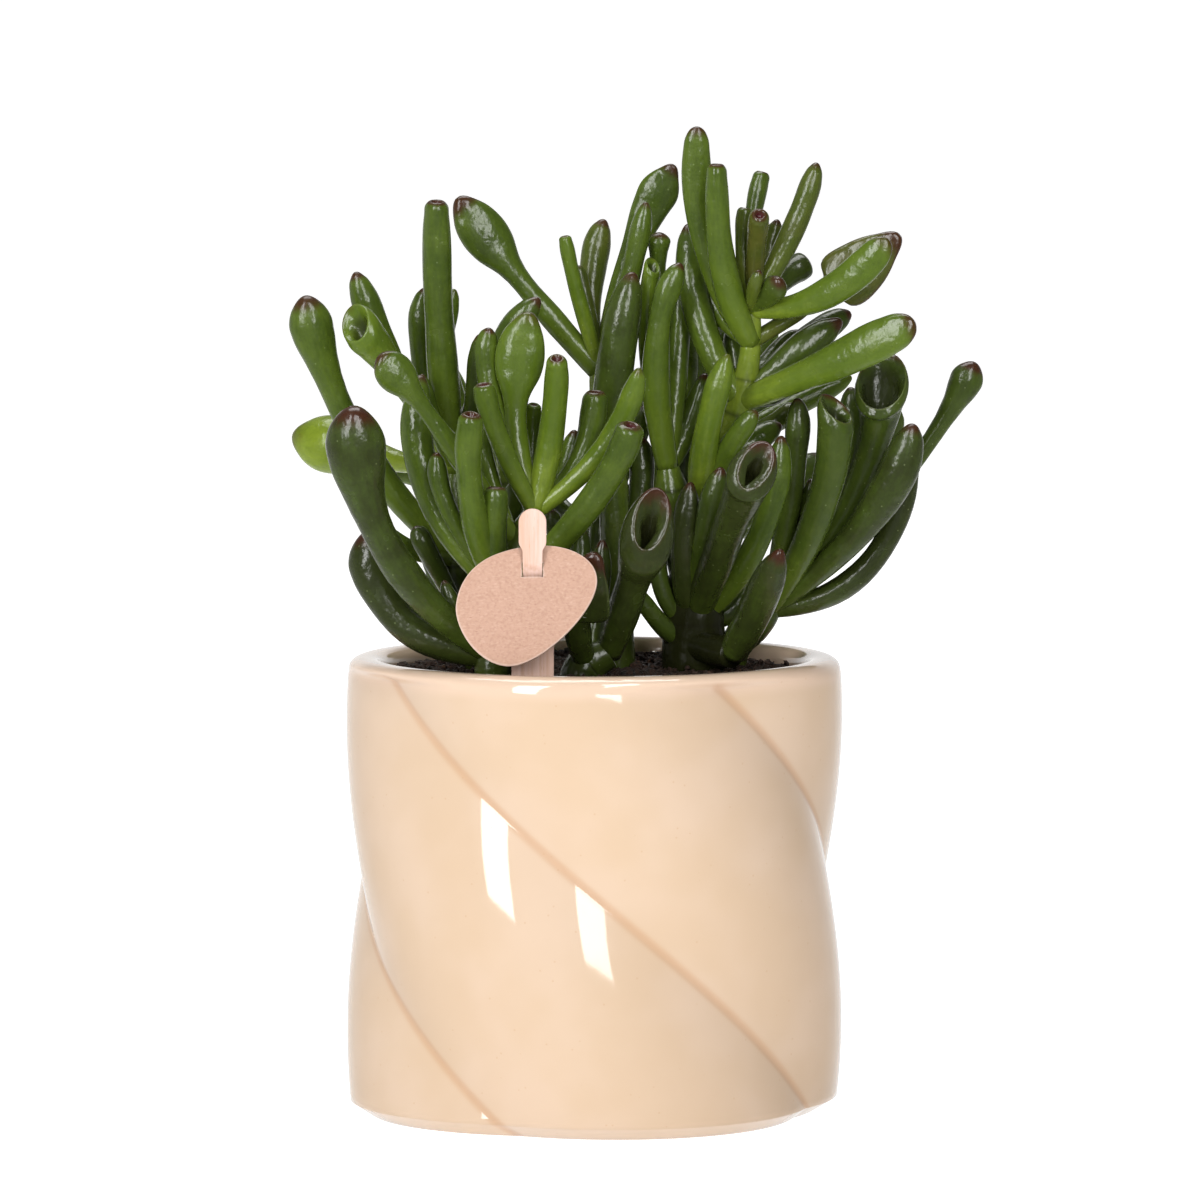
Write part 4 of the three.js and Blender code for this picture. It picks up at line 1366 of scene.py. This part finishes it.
SHOOTS = [
    LeafyStem(
        "shoot_front_left",
        FRONT,
        [
            [
                (-22, -19, 84, 4.1), (-22, -19.5, 103, 4.1), (-20, -19, 116, 3.6),
                (-17, -18, 127, 3), (-13, -17, 134, 2.4), (-12.5, -17, 136, 1.2),
            ],
        ],
        [
            Leaf(CLUB, 1, (-45.3, -31, 127.6), (-51.8, -40, 158.9), 7.3, 13, SLATE),
            Leaf(CLUB, 1, (-42.5, -17, 110.4), (-49.6, -15, 130), 7.4, 9.8, SLATE),
            Leaf(FINGER, 2, (-26.5, -28, 135.8), (-26.7, -36, 156.9), 6.2, 5.6, GREEN),
            Leaf(TAPER, 2, (-36.4, -15, 139), (-37.9, -11, 164), 6, 6.8, GREEN),
            Leaf(TAPER, 2, (-31.5, -20.5, 134), (-34.4, -21, 147.6), 3.6, 4.2, GREEN),
            Leaf(FINGER, 2, (-21.5, -25, 127.8), (-21.3, -27, 140.4), 4.5, 5.6, GREEN),
            Leaf(FINGER, 2, (-0.9, -26, 136.7), (8, -32, 154.3), 6, 6.6, GREEN),
            Leaf(FLAME, 3, (-34.2, -24, 153.4), (-47, -28, 169.2), 4.8, 8.6, GREEN),
            Leaf(TAPER, 3, (-23.3, -13, 143.4), (-24.4, -12, 153.9), 3.4, 3.6, GREEN),
            Leaf(TAPER, 4, (2.7, -18, 149.3), (9.8, -23, 166.2), 4.4, 5, BRIGHT),
            Leaf(FINGER, 4, (-3.4, -11, 145), (0.3, -11, 160.3), 4.6, 5.7, GREEN),
            Leaf(TAPER, 4, (-7, -6.5, 141.5), (-4.4, -4.5, 151.5), 4, 5, GREEN),
            Leaf(FINGER, 4, (-9.3, -17.5, 152.5), (-8.2, -24.5, 168.4), 5.8, 4.9, BRIGHT),
            Leaf(FINGER, 4, (-20.8, -21, 150.6), (-24.2, -24, 162.7), 4.6, 4.8, GREEN),
            Leaf(FLAME, 4, (-17.3, -13, 155.5), (-14, -14, 178), 5.2, 10.6, BRIGHT),
            Leaf(TAPER, 4, (-22.4, -11, 158.8), (-22.9, -12, 174.3), 4.6, 5, GREEN),
            Leaf(TAPER, 4, (-21.2, -4, 161), (-12, -3, 180.4), 4.6, 6.6, GREEN),
            Leaf(FINGER, 4, (-13.7, -8, 147.3), (-13.3, -7, 157.3), 3.2, 3.4, BRIGHT),
            Leaf(TAPER, 1, (-29, -22, 111), (-33, -21, 119.5), 3.4, 3.6, DEEP),
        ],
    ),
    LeafyStem(
        "shoot_left",
        FRONT,
        [
            [
                (-24, 6, 84, 3.6), (-26, 5, 104, 3.6), (-30, 4, 122, 3.2), (-31, 6, 141, 2.6),
                (-31, 6, 144, 1.4),
            ],
        ],
        [
            Leaf(CLUB, 2, (-52.3, 0, 149), (-63.7, -6, 181.2), 6.2, 9.6, GREEN),
            Leaf(CLUB, 3, (-46.3, 26, 143), (-68.1, 36, 147.8), 4, 13.2, LIME),
            Leaf(
                CUP, 3, (-41, -3, 159.7), (-52.6, -9, 175.3), 4.3, 8.4, BRIGHT,
                (-0.62, -0.72, 0.3),
            ),
            Leaf(TAPER, 3, (-44.6, 6, 165), (-52.9, 4, 186), 3.7, 6.2, GREEN),
            Leaf(FINGER, 3, (-34.1, 1, 172.2), (-34.7, -5, 201.9), 7, 5.6, GREEN),
            Leaf(TAPER, 3, (-38, 12, 163.5), (-37.6, 12, 182.1), 4.6, 5, GREEN),
            Leaf(TAPER, 3, (-35.2, -1, 152.4), (-38.1, -4, 163.8), 3.2, 3.6, GREEN),
            Leaf(TAPER, 3, (-34, 11, 163.6), (-31, 10, 181.9), 3.4, 4.4, BRIGHT),
            Leaf(TAPER, 3, (-26.6, 2, 156.8), (-25.4, 0, 172.4), 3.8, 5, DEEP),
            Leaf(TAPER, 3, (-28.5, 9, 151.5), (-25.5, 10, 161), 3.6, 3.8, GREEN),
            Leaf(TAPER, 2, (-43, -3, 126), (-54.1, -7, 136.2), 4, 4.6, GREEN),
            Leaf(TAPER, 1, (-34.6, 2, 118), (-38.8, 2, 133.5), 3.8, 4.2, GREEN),
            Leaf(TAPER, 1, (-34.8, -6, 121), (-39.5, -8, 130.4), 4, 4.6, DEEP),
        ],
    ),
    LeafyStem(
        "shoot_centre",
        FRONT,
        [
            [
                (6, 10, 84, 3.6), (5, 10, 110, 3.5), (4, 9, 141, 3.1), (1.4, 11, 163.2, 2.4),
                (0.8, 11, 169, 1.2),
            ],
        ],
        [
            Leaf(TAPER, 2, (4.4, 2, 163.2), (8.6, 0, 186.2), 9.2, 8.2, DEEP),
            Leaf(FLAME, 3, (-14.4, 14, 181.2), (-30.5, 13, 202.2), 5.5, 10.2, GREEN),
            Leaf(FINGER, 3, (-3.7, 8, 181), (-6.6, 6, 193.8), 3.5, 3, BRIGHT),
            Leaf(TAPER, 3, (-1.4, 13, 178), (-3.8, 13, 187), 2.8, 3, OLIVE),
            Leaf(TAPER, 3, (-0.6, 19, 181.8), (2.3, 20, 197), 3.6, 6.1, OLIVE),
            Leaf(SPOON, 3, (7.9, 17, 188.6), (17.8, 15, 209.3), 4.6, 8.8, GREEN),
            Leaf(TAPER, 3, (7.3, 8, 182.6), (11.5, 6, 201.4), 4.4, 4.6, GREEN),
            Leaf(TAPER, 2, (8.5, 13, 147), (11.5, 16, 156), 4.6, 5, GREEN),
            Leaf(TAPER, 1, (9.7, 12, 131), (10.4, 12, 149), 5.2, 5.6, DEEP),
            Leaf(TAPER, 1, (-5, 6, 122), (-9.8, 4, 133.5), 4.6, 4.8, DEEP),
        ],
    ),
    LeafyStem(
        "shoot_right",
        FRONT,
        [
            [
                (22.4, 6, 84, 7.2), (22.2, 5, 108, 6.8), (23.5, 4, 133, 3.8),
                (32.5, 3, 157.5, 2.9), (34.6, 2, 170.5, 2.2), (34.8, 1, 178, 1.6),
                (34.8, 1, 180, 0.8),
            ],
            [(23, 5, 105, 3.6), (19, 6, 124, 3.2), (16.4, 6, 141.8, 2.8), (16, 6, 145, 1.4)],
            [(20, 4, 103.5, 3.4), (30.5, -7, 102.2, 3.4)],
        ],
        [
            Leaf(FINGER, 4, (28.5, -5, 187), (26.9, -9, 210.2), 6.6, 4.6, GREEN),
            Leaf(PADDLE, 4, (24.6, 1, 192.2), (22.7, -2, 218.3), 5.4, 6, GREEN),
            Leaf(TAPER, 3, (23.8, 5.5, 174.1), (20.8, 12, 196.3), 6.4, 6.6, GREEN),
            Leaf(TAPER, 4, (26.8, 9, 179), (25.6, 11, 190.5), 4.8, 5.2, GREEN),
            Leaf(TAPER, 3, (31.5, 8, 165.5), (30.5, 11, 175), 4.8, 5.2, GREEN),
            Leaf(FINGER, 5, (34.6, 6, 192.8), (37.3, 9, 207.9), 3.4, 4, GREEN),
            Leaf(FINGER, 5, (35.6, -1.5, 190.2), (36.3, -9, 199.2), 4.2, 4.6, RUSSET),
            Leaf(FINGER, 5, (32.9, 1.5, 189.8), (33.4, 2, 200.2), 3.2, 3.6, OLIVE),
            Leaf(TAPER, 5, (37.9, 12, 187.2), (40.8, 14, 197.2), 4, 4.6, OLIVE),
            Leaf(TAPER, 5, (43.8, 3, 195), (49.2, 3, 210.2), 4.8, 5, OLIVE),
            Leaf(FINGER, 5, (41.5, 9, 183.8), (47.4, 13, 187.8), 4.8, 6.3, DEEP),
            Leaf(CLUB, 5, (38.4, -5, 181.4), (40.8, -10, 185), 4.6, 5.6, DEEP),
            Leaf(TAPER, 5, (35, -6.5, 182.3), (36.4, -9, 187), 3, 3.2, OLIVE),
            Leaf(PADDLE, 5, (50.4, -8, 181.4), (64.4, -14, 194), 4.8, 7.4, BRIGHT),
            Leaf(SPOON, 4, (51.2, 6, 181.2), (67.7, 4, 194.2), 3.8, 12.6, RUSSET),
            Leaf(TAPER, 3, (45.7, 11, 169.2), (57.2, 14, 176.4), 5.4, 6.4, DEEP),
            Leaf(TAPER, 3, (43, 3.5, 166.4), (54.8, 3.5, 175.4), 5.8, 7.6, DEEP),
            Leaf(PADDLE, 3, (51.2, -9, 166), (70.2, -17, 176), 6, 8.8, BRIGHT),
            Leaf(TAPER, 3, (39.5, 10, 166), (46, 12, 172.5), 4.8, 5.2, DEEP),
            Leaf(TAPER, 3, (39, 8, 158.5), (45.5, 10, 162), 4.4, 4.8, DEEP),
            Leaf(TAPER, 2, (24.8, -5, 150.4), (29.5, -8, 168.5), 6.2, 5.6, BRIGHT),
            Leaf(TAPER, 2, (29.7, -4, 147), (35.9, -8, 155.8), 4.6, 5, GREEN),
            Leaf(TAPER, 9, (21.3, 10, 152.5), (24.8, 11, 163.1), 4.8, 5.4, GREEN),
            Leaf(
                SPLIT, 1, (29.3, -15, 129.6), (35.2, -27, 145), 7.6, 10, SLATE,
                (0.05, -0.95, 0.24),
            ),
            Leaf(TAPER, 1, (24.4, -6, 126.1), (28, -11, 143.7), 5.6, 6, DEEP),
            Leaf(TAPER, 1, (36.1, -4, 127), (41.2, -7, 150.4), 5.8, 5.6, GREEN),
            Leaf(TAPER, 1, (15.5, 1, 114.5), (13.5, 1, 131.1), 4, 4, DEEP),
            Leaf(TAPER, 11, (14.5, 0, 108.4), (8.4, -3, 117), 4.4, 4.2, DEEP),
            Leaf(TAPER, 1, (30.6, 8, 110.5), (33.6, 9.5, 118), 4.6, 5, DEEP),
            Leaf(TAPER, 1, (20, -3, 122.5), (21.3, -6, 140.1), 6.2, 5.8, SLATE),
            Leaf(TAPER, 9, (13.7, -1, 169), (19.2, -3, 188.2), 6.4, 5.2, GREEN),
            Leaf(CUP, 9, (12, 5, 168.5), (13, 4, 187.4), 4.2, 3.8, BRIGHT, (0.5, -0.6, 0.6)),
            Leaf(TAPER, 9, (18.4, 10, 164), (19.2, 13, 184), 4.6, 5, GREEN),
            Leaf(CLUB, 9, (14.3, 11, 174.6), (14.6, 9, 194.4), 3.8, 5, GREEN),
            Leaf(TAPER, 9, (19.5, 14, 157), (20.5, 18, 172), 5.2, 5.8, GREEN),
            Leaf(TAPER, 2, (32.5, 11, 145), (41.8, 14, 151.4), 5, 5.8, GREEN),
            Leaf(TAPER, 8, (19.6, 9, 137), (20.5, 11, 152), 4.8, 5.2, DEEP),
            Leaf(TAPER, 12, (35.4, -15, 112.6), (40.8, -26, 126.6), 7.6, 7.8, SLATE),
        ],
    ),
    LeafyStem(
        "shoot_far_right",
        FRONT,
        [
            [
                (30.5, 15.5, 84, 3.6), (31, 14.5, 101, 3.6), (38.6, 12, 110.5, 3.3),
                (40.6, 12, 113, 1.6),
            ],
        ],
        [
            Leaf(TAPER, 2, (43.9, 5, 137.5), (45, 3, 158.1), 5, 5, DEEP),
            Leaf(TAPER, 2, (41.2, 11, 123.7), (41, 12, 134), 3.4, 3.6, DEEP),
            Leaf(CUP, 2, (49.8, -2, 133.5), (53.2, -9, 156.4), 6.6, 8.2, DEEP, (0.5, -0.5, 0.7)),
            Leaf(
                TRUMPET, 2, (57.2, 8, 134.9), (63.7, 1, 162.1), 5, 11.8, DEEP,
                (-0.15, -0.82, 0.55),
            ),
            Leaf(TAPER, 2, (60.8, 14, 138.9), (66.3, 12, 155.7), 4, 4.4, DEEP),
            Leaf(TAPER, 2, (60, 20, 133.9), (67.5, 21, 150.8), 3.8, 4, DEEP),
            Leaf(TAPER, 2, (60.6, 1, 131.2), (70.3, -5, 152.9), 6, 8.4, SLATE),
            Leaf(FINGER, 2, (60.4, 10, 119.6), (70, 8, 144.2), 5.6, 5.2, SLATE),
            Leaf(CLUB, 2, (66.8, 17, 137), (84.8, 15, 165.4), 4.6, 7.4, DEEP),
            Leaf(TAPER, 2, (54, 11.5, 140), (56.8, 12, 160), 4.8, 5.2, DEEP),
            Leaf(TAPER, 2, (46.5, 7, 125), (48, 6, 140), 4.6, 4.8, DEEP),
        ],
    ),
    LeafyStem(
        "shoot_low_front",
        FRONT,
        [
            [(-2, -14, 84, 4.4), (-1.5, -14, 100.4, 4.4), (3.2, -14, 103, 3.4)],
        ],
        [
            Leaf(
                SPLIT, 2, (7.8, -22, 117), (12.4, -31, 133.6), 7.4, 10.8, SLATE,
                (0.1, -0.95, 0.18),
            ),
            Leaf(SPOON, 1, (-3.6, -26, 112.4), (0.8, -33, 126.4), 6, 12.4, SLATE),
            Leaf(TAPER, 1, (0.5, -8, 112.2), (1.8, -7, 127.4), 4.6, 4.8, DEEP),
            Leaf(TAPER, 1, (-3, -5, 114), (-2.8, -2, 130), 4.8, 5.4, DEEP),
        ],
    ),
    LeafyStem(
        "shoot_back_left",
        BACK,
        [
            [
                (-16, 27, 84, 3.5), (-19, 28, 104, 3.4), (-20, 29, 125, 3), (-22, 30, 141, 2.4),
                (-22, 30, 144, 1.2),
            ],
        ],
        [
            Leaf(TAPER, 3, (-32, 34, 157), (-35.5, 38, 176.8), 5, 6, GREEN),
            Leaf(FINGER, 3, (-20.5, 36, 152), (-19.4, 40, 163.5), 4.6, 5, GREEN),
            Leaf(CLUB, 2, (-28, 44, 128.4), (-34.5, 56, 135.6), 5, 8.6, DEEP),
            Leaf(CUP, 1, (-20.5, 43, 114), (-25, 56, 124), 5.4, 8, GREEN, (0, 0.8, 0.6)),
            Leaf(CLUB, 2, (-38.5, 41, 137.5), (-54, 48, 139), 4.8, 8.4, GREEN),
            Leaf(TAPER, 2, (-18.6, 23, 132), (-17.6, 19, 139), 5, 5.2, DEEP),
            Leaf(FINGER, 2, (-14.5, 38, 131), (-10.5, 48, 138), 5, 5.8, BRIGHT),
            Leaf(CLUB, 2, (-23, 41, 139), (-27, 50, 153), 5, 8, GREEN),
            Leaf(TAPER, 1, (-14, 40, 115), (-8.5, 50, 122), 4.8, 5.6, DEEP),
            Leaf(TAPER, 3, (-28.5, 38, 151), (-34, 44, 165), 4.6, 5.4, BRIGHT),
            Leaf(FINGER, 1, (-28, 36, 122), (-37, 44, 129), 5, 5.6, GREEN),
            Leaf(TAPER, 3, (-20.5, 33, 153), (-19.5, 36, 164), 4.6, 5.2, GREEN),
            Leaf(SPOON, 1, (-28, 42, 110), (-35, 54, 113), 4.6, 7, DEEP),
        ],
    ),
    LeafyStem(
        "shoot_back",
        BACK,
        [
            [
                (2, 33, 84, 3.6), (2, 34, 106, 3.4), (2, 35, 128, 3), (4, 36, 150, 2.3),
                (4, 36, 153, 1.2),
            ],
        ],
        [
            Leaf(TAPER, 3, (5, 38, 165), (4.8, 41, 178), 5, 6, BRIGHT),
            Leaf(CLUB, 2, (3, 48, 140), (3.8, 60, 148), 5, 9, GREEN),
            Leaf(FINGER, 1, (7, 46, 113), (10.8, 60, 118), 5, 6, GREEN),
            Leaf(SPOON, 2, (-7, 46, 130), (-15, 58, 138.5), 4.8, 8, DEEP),
            Leaf(CUP, 1, (-8, 46, 110.5), (-17, 59, 114), 5, 8, GREEN, (-0.1, 0.85, 0.5)),
            Leaf(FINGER, 2, (13, 44, 138), (24, 50, 149.4), 4.8, 5.6, GREEN),
            Leaf(TAPER, 3, (11.5, 39, 156), (17.6, 41, 168.8), 4.6, 5.2, OLIVE),
            Leaf(TAPER, 1, (-2, 47, 121), (-5, 59, 130), 5, 5.8, DEEP),
            Leaf(CLUB, 1, (11.5, 46, 123), (16, 57, 132), 5, 8, GREEN),
            Leaf(TAPER, 2, (8, 45, 146), (10.5, 52, 160), 4.8, 5.6, BRIGHT),
            Leaf(FINGER, 3, (4, 44, 161), (3.5, 50, 170), 4.8, 5.4, GREEN),
        ],
    ),
    LeafyStem(
        "shoot_back_right",
        BACK,
        [
            [
                (25, 30, 84, 3.5), (25, 31, 106, 3.4), (27, 31, 128, 3), (31, 30, 148, 2.3),
                (31, 30, 151, 1.2),
            ],
        ],
        [
            Leaf(TAPER, 3, (44, 33, 154), (58, 35, 161), 4.6, 5, BRIGHT),
            Leaf(CLUB, 2, (40, 44, 131), (51.5, 56, 142), 4.8, 8, GREEN),
            Leaf(SPOON, 1, (46, 40, 122), (62, 47, 136), 4.6, 7.4, GREEN),
            Leaf(CUP, 1, (29, 48, 112), (32.3, 62, 117), 5, 8.4, GREEN, (0.1, 0.85, 0.5)),
            Leaf(FINGER, 2, (35.5, 45, 127), (44, 58, 135.4), 4.8, 5.6, GREEN),
            Leaf(TAPER, 3, (29, 31, 163), (27.3, 34, 177), 4.6, 5.2, GREEN),
            Leaf(TAPER, 3, (25.5, 35, 162), (21.8, 42, 180.8), 4.8, 5.4, BRIGHT),
            Leaf(TAPER, 2, (23, 33, 147), (20, 36, 163), 5, 5.6, GREEN),
            Leaf(FINGER, 3, (38.5, 27, 150), (45.2, 25, 154.6), 4.4, 4.8, OLIVE),
            Leaf(CLUB, 2, (29.5, 45, 139), (30.5, 57, 150), 5, 8.6, GREEN),
            Leaf(TAPER, 3, (36, 38, 161), (40.5, 44, 173), 4.8, 5.6, BRIGHT),
            Leaf(FINGER, 1, (21.5, 44, 114), (20, 56, 120), 5, 5.6, DEEP),
            Leaf(TAPER, 1, (37, 43, 110), (47, 55, 114), 5, 5.6, DEEP),
            Leaf(TAPER, 2, (34, 40, 144), (38, 48, 156), 4.8, 5.6, GREEN),
            Leaf(FINGER, 3, (25, 40, 156), (21, 49, 165), 4.6, 5.2, GREEN),
        ],
    ),
]


# ------------------------------------------------------------------ studio


@dataclass
class Studio:
    """Camera, floor and soft lights, in metres."""

    eye: tuple[float, float, float] = (0.0, -1.8787, 0.269)
    dip: float = math.radians(4.734)
    lens: float = 255.2
    shift: float = 0.0047
    floor_size: float = 90.0
    aim: float = 0.12  # height that the lamps look at
    wall_light: float = 1.0
    ceiling_light: float = 0.3
    front_light: float = 0.18
    left_light: float = 0.5
    right_light: float = 0.25
    lamps: tuple[tuple[str, Point, tuple[float, float], float], ...] = (
        ("left_softbox", (-0.715, -1.1, 0.74), (0.37, 1.18), 16.0),
        ("right_softbox", (0.34, -1.268, 0.77), (0.37, 1.12), 13.5),
        ("top_softbox", (-0.1, 0.3, 1.4), (1.0, 0.7), 12.0),
    )  # name, place, size and watts of each

    def camera(self) -> None:
        """Stands a long-lens camera in front, slightly above the plant and tilted down."""
        data = bpy.data.cameras.new("studio_camera")
        data.lens = self.lens
        data.sensor_width = 36.0
        data.shift_x = self.shift
        data.clip_start, data.clip_end = 0.05, 100.0
        camera = bpy.data.objects.new("studio_camera", data)
        camera.location = self.eye
        camera.rotation_euler = (TURN / 4 - self.dip, 0, 0)
        bpy.context.scene.collection.objects.link(camera)
        bpy.context.scene.camera = camera

    def floor(self) -> None:
        """Lays a plain pale floor."""
        half = self.floor_size / 2 / MM
        corners = [(-half, -half, 0), (half, -half, 0), (half, half, 0), (-half, half, 0)]
        none = np.empty((0, 3), dtype=int)
        piece = make_mesh("studio_floor", np.array(corners), np.array([[0, 1, 2, 3]]), none, {})
        piece.data.materials.append(PaleFloor().make())
        piece.visible_glossy = False  # glaze and leaves mirror the room instead

    def light(self, name: str, place: Point, size: tuple[float, float], power: float) -> None:
        """Hangs a soft box that looks at the plant.

        Args:
            name: Name of the lamp.
            place: Its middle in metres.
            size: Width and height in metres.
            power: Watts.
        """
        data = bpy.data.lights.new(name, "AREA")
        data.shape = "RECTANGLE"
        data.size, data.size_y = size
        data.energy = power
        lamp = bpy.data.objects.new(name, data)
        x, y, z = place
        lamp.location = place
        level = math.hypot(x, y)
        lamp.rotation_euler = (math.atan2(level, z - self.aim), 0, math.atan2(y, x) + TURN / 4)
        bpy.context.scene.collection.objects.link(lamp)

    def surround(self) -> None:
        """Surrounds the set with white walls.

        Their light falls from wall_light to ceiling_light a little above the horizon, and is
        multiplied by front_light on the camera's side and by left_light and right_light beside it.
        """
        world = bpy.data.worlds.new("studio_surround")
        world.use_nodes = True
        graph = NodeGraph(world.node_tree)
        toward = graph.add("TexCoord", {}, "Generated")
        falls = [
            ("Z", 0.2, 0.5, self.wall_light, self.ceiling_light),
            ("Y", 0.1, -0.7, 1.0, self.front_light),
            ("X", -0.2, -0.9, 1.0, self.left_light),
            ("X", 0.2, 0.9, 1.0, self.right_light),
        ]
        strength = 1.0
        for axis, near, far, full, dim in falls:
            level = graph.add("SeparateXYZ", {0: toward}, axis)
            spread = {0: level, 1: near, 2: far, 3: full, 4: dim}
            fall = graph.add("MapRange", spread, interpolation_type="SMOOTHSTEP")
            strength = graph.add("Math", {0: strength, 1: fall}, operation="MULTIPLY")
        white = {"Color": linear("#ffffff"), "Strength": strength}
        graph.feed(world.node_tree.nodes["Background"], white)
        bpy.context.scene.world = world

    def build(self) -> None:
        """Sets up the whole studio."""
        self.camera()
        self.floor()
        self.surround()
        for name, place, size, power in self.lamps:
            self.light(name, place, size, power)
        log.info("studio: camera, floor and three soft boxes")


def main() -> None:
    """Builds the studio and every piece of the plant."""
    logging.basicConfig(level=logging.INFO, format="%(name)s %(message)s", force=True)
    bpy.context.scene.view_settings.view_transform = "Standard"
    Studio().build()
    GlazedPot().build()
    SoilFill().build()
    WoodenPick().build()
    CardTag().build()
    skin = SucculentSkin().make()
    for shoot in SHOOTS:
        shoot.build(skin)


if __name__ == "__main__":
    main()
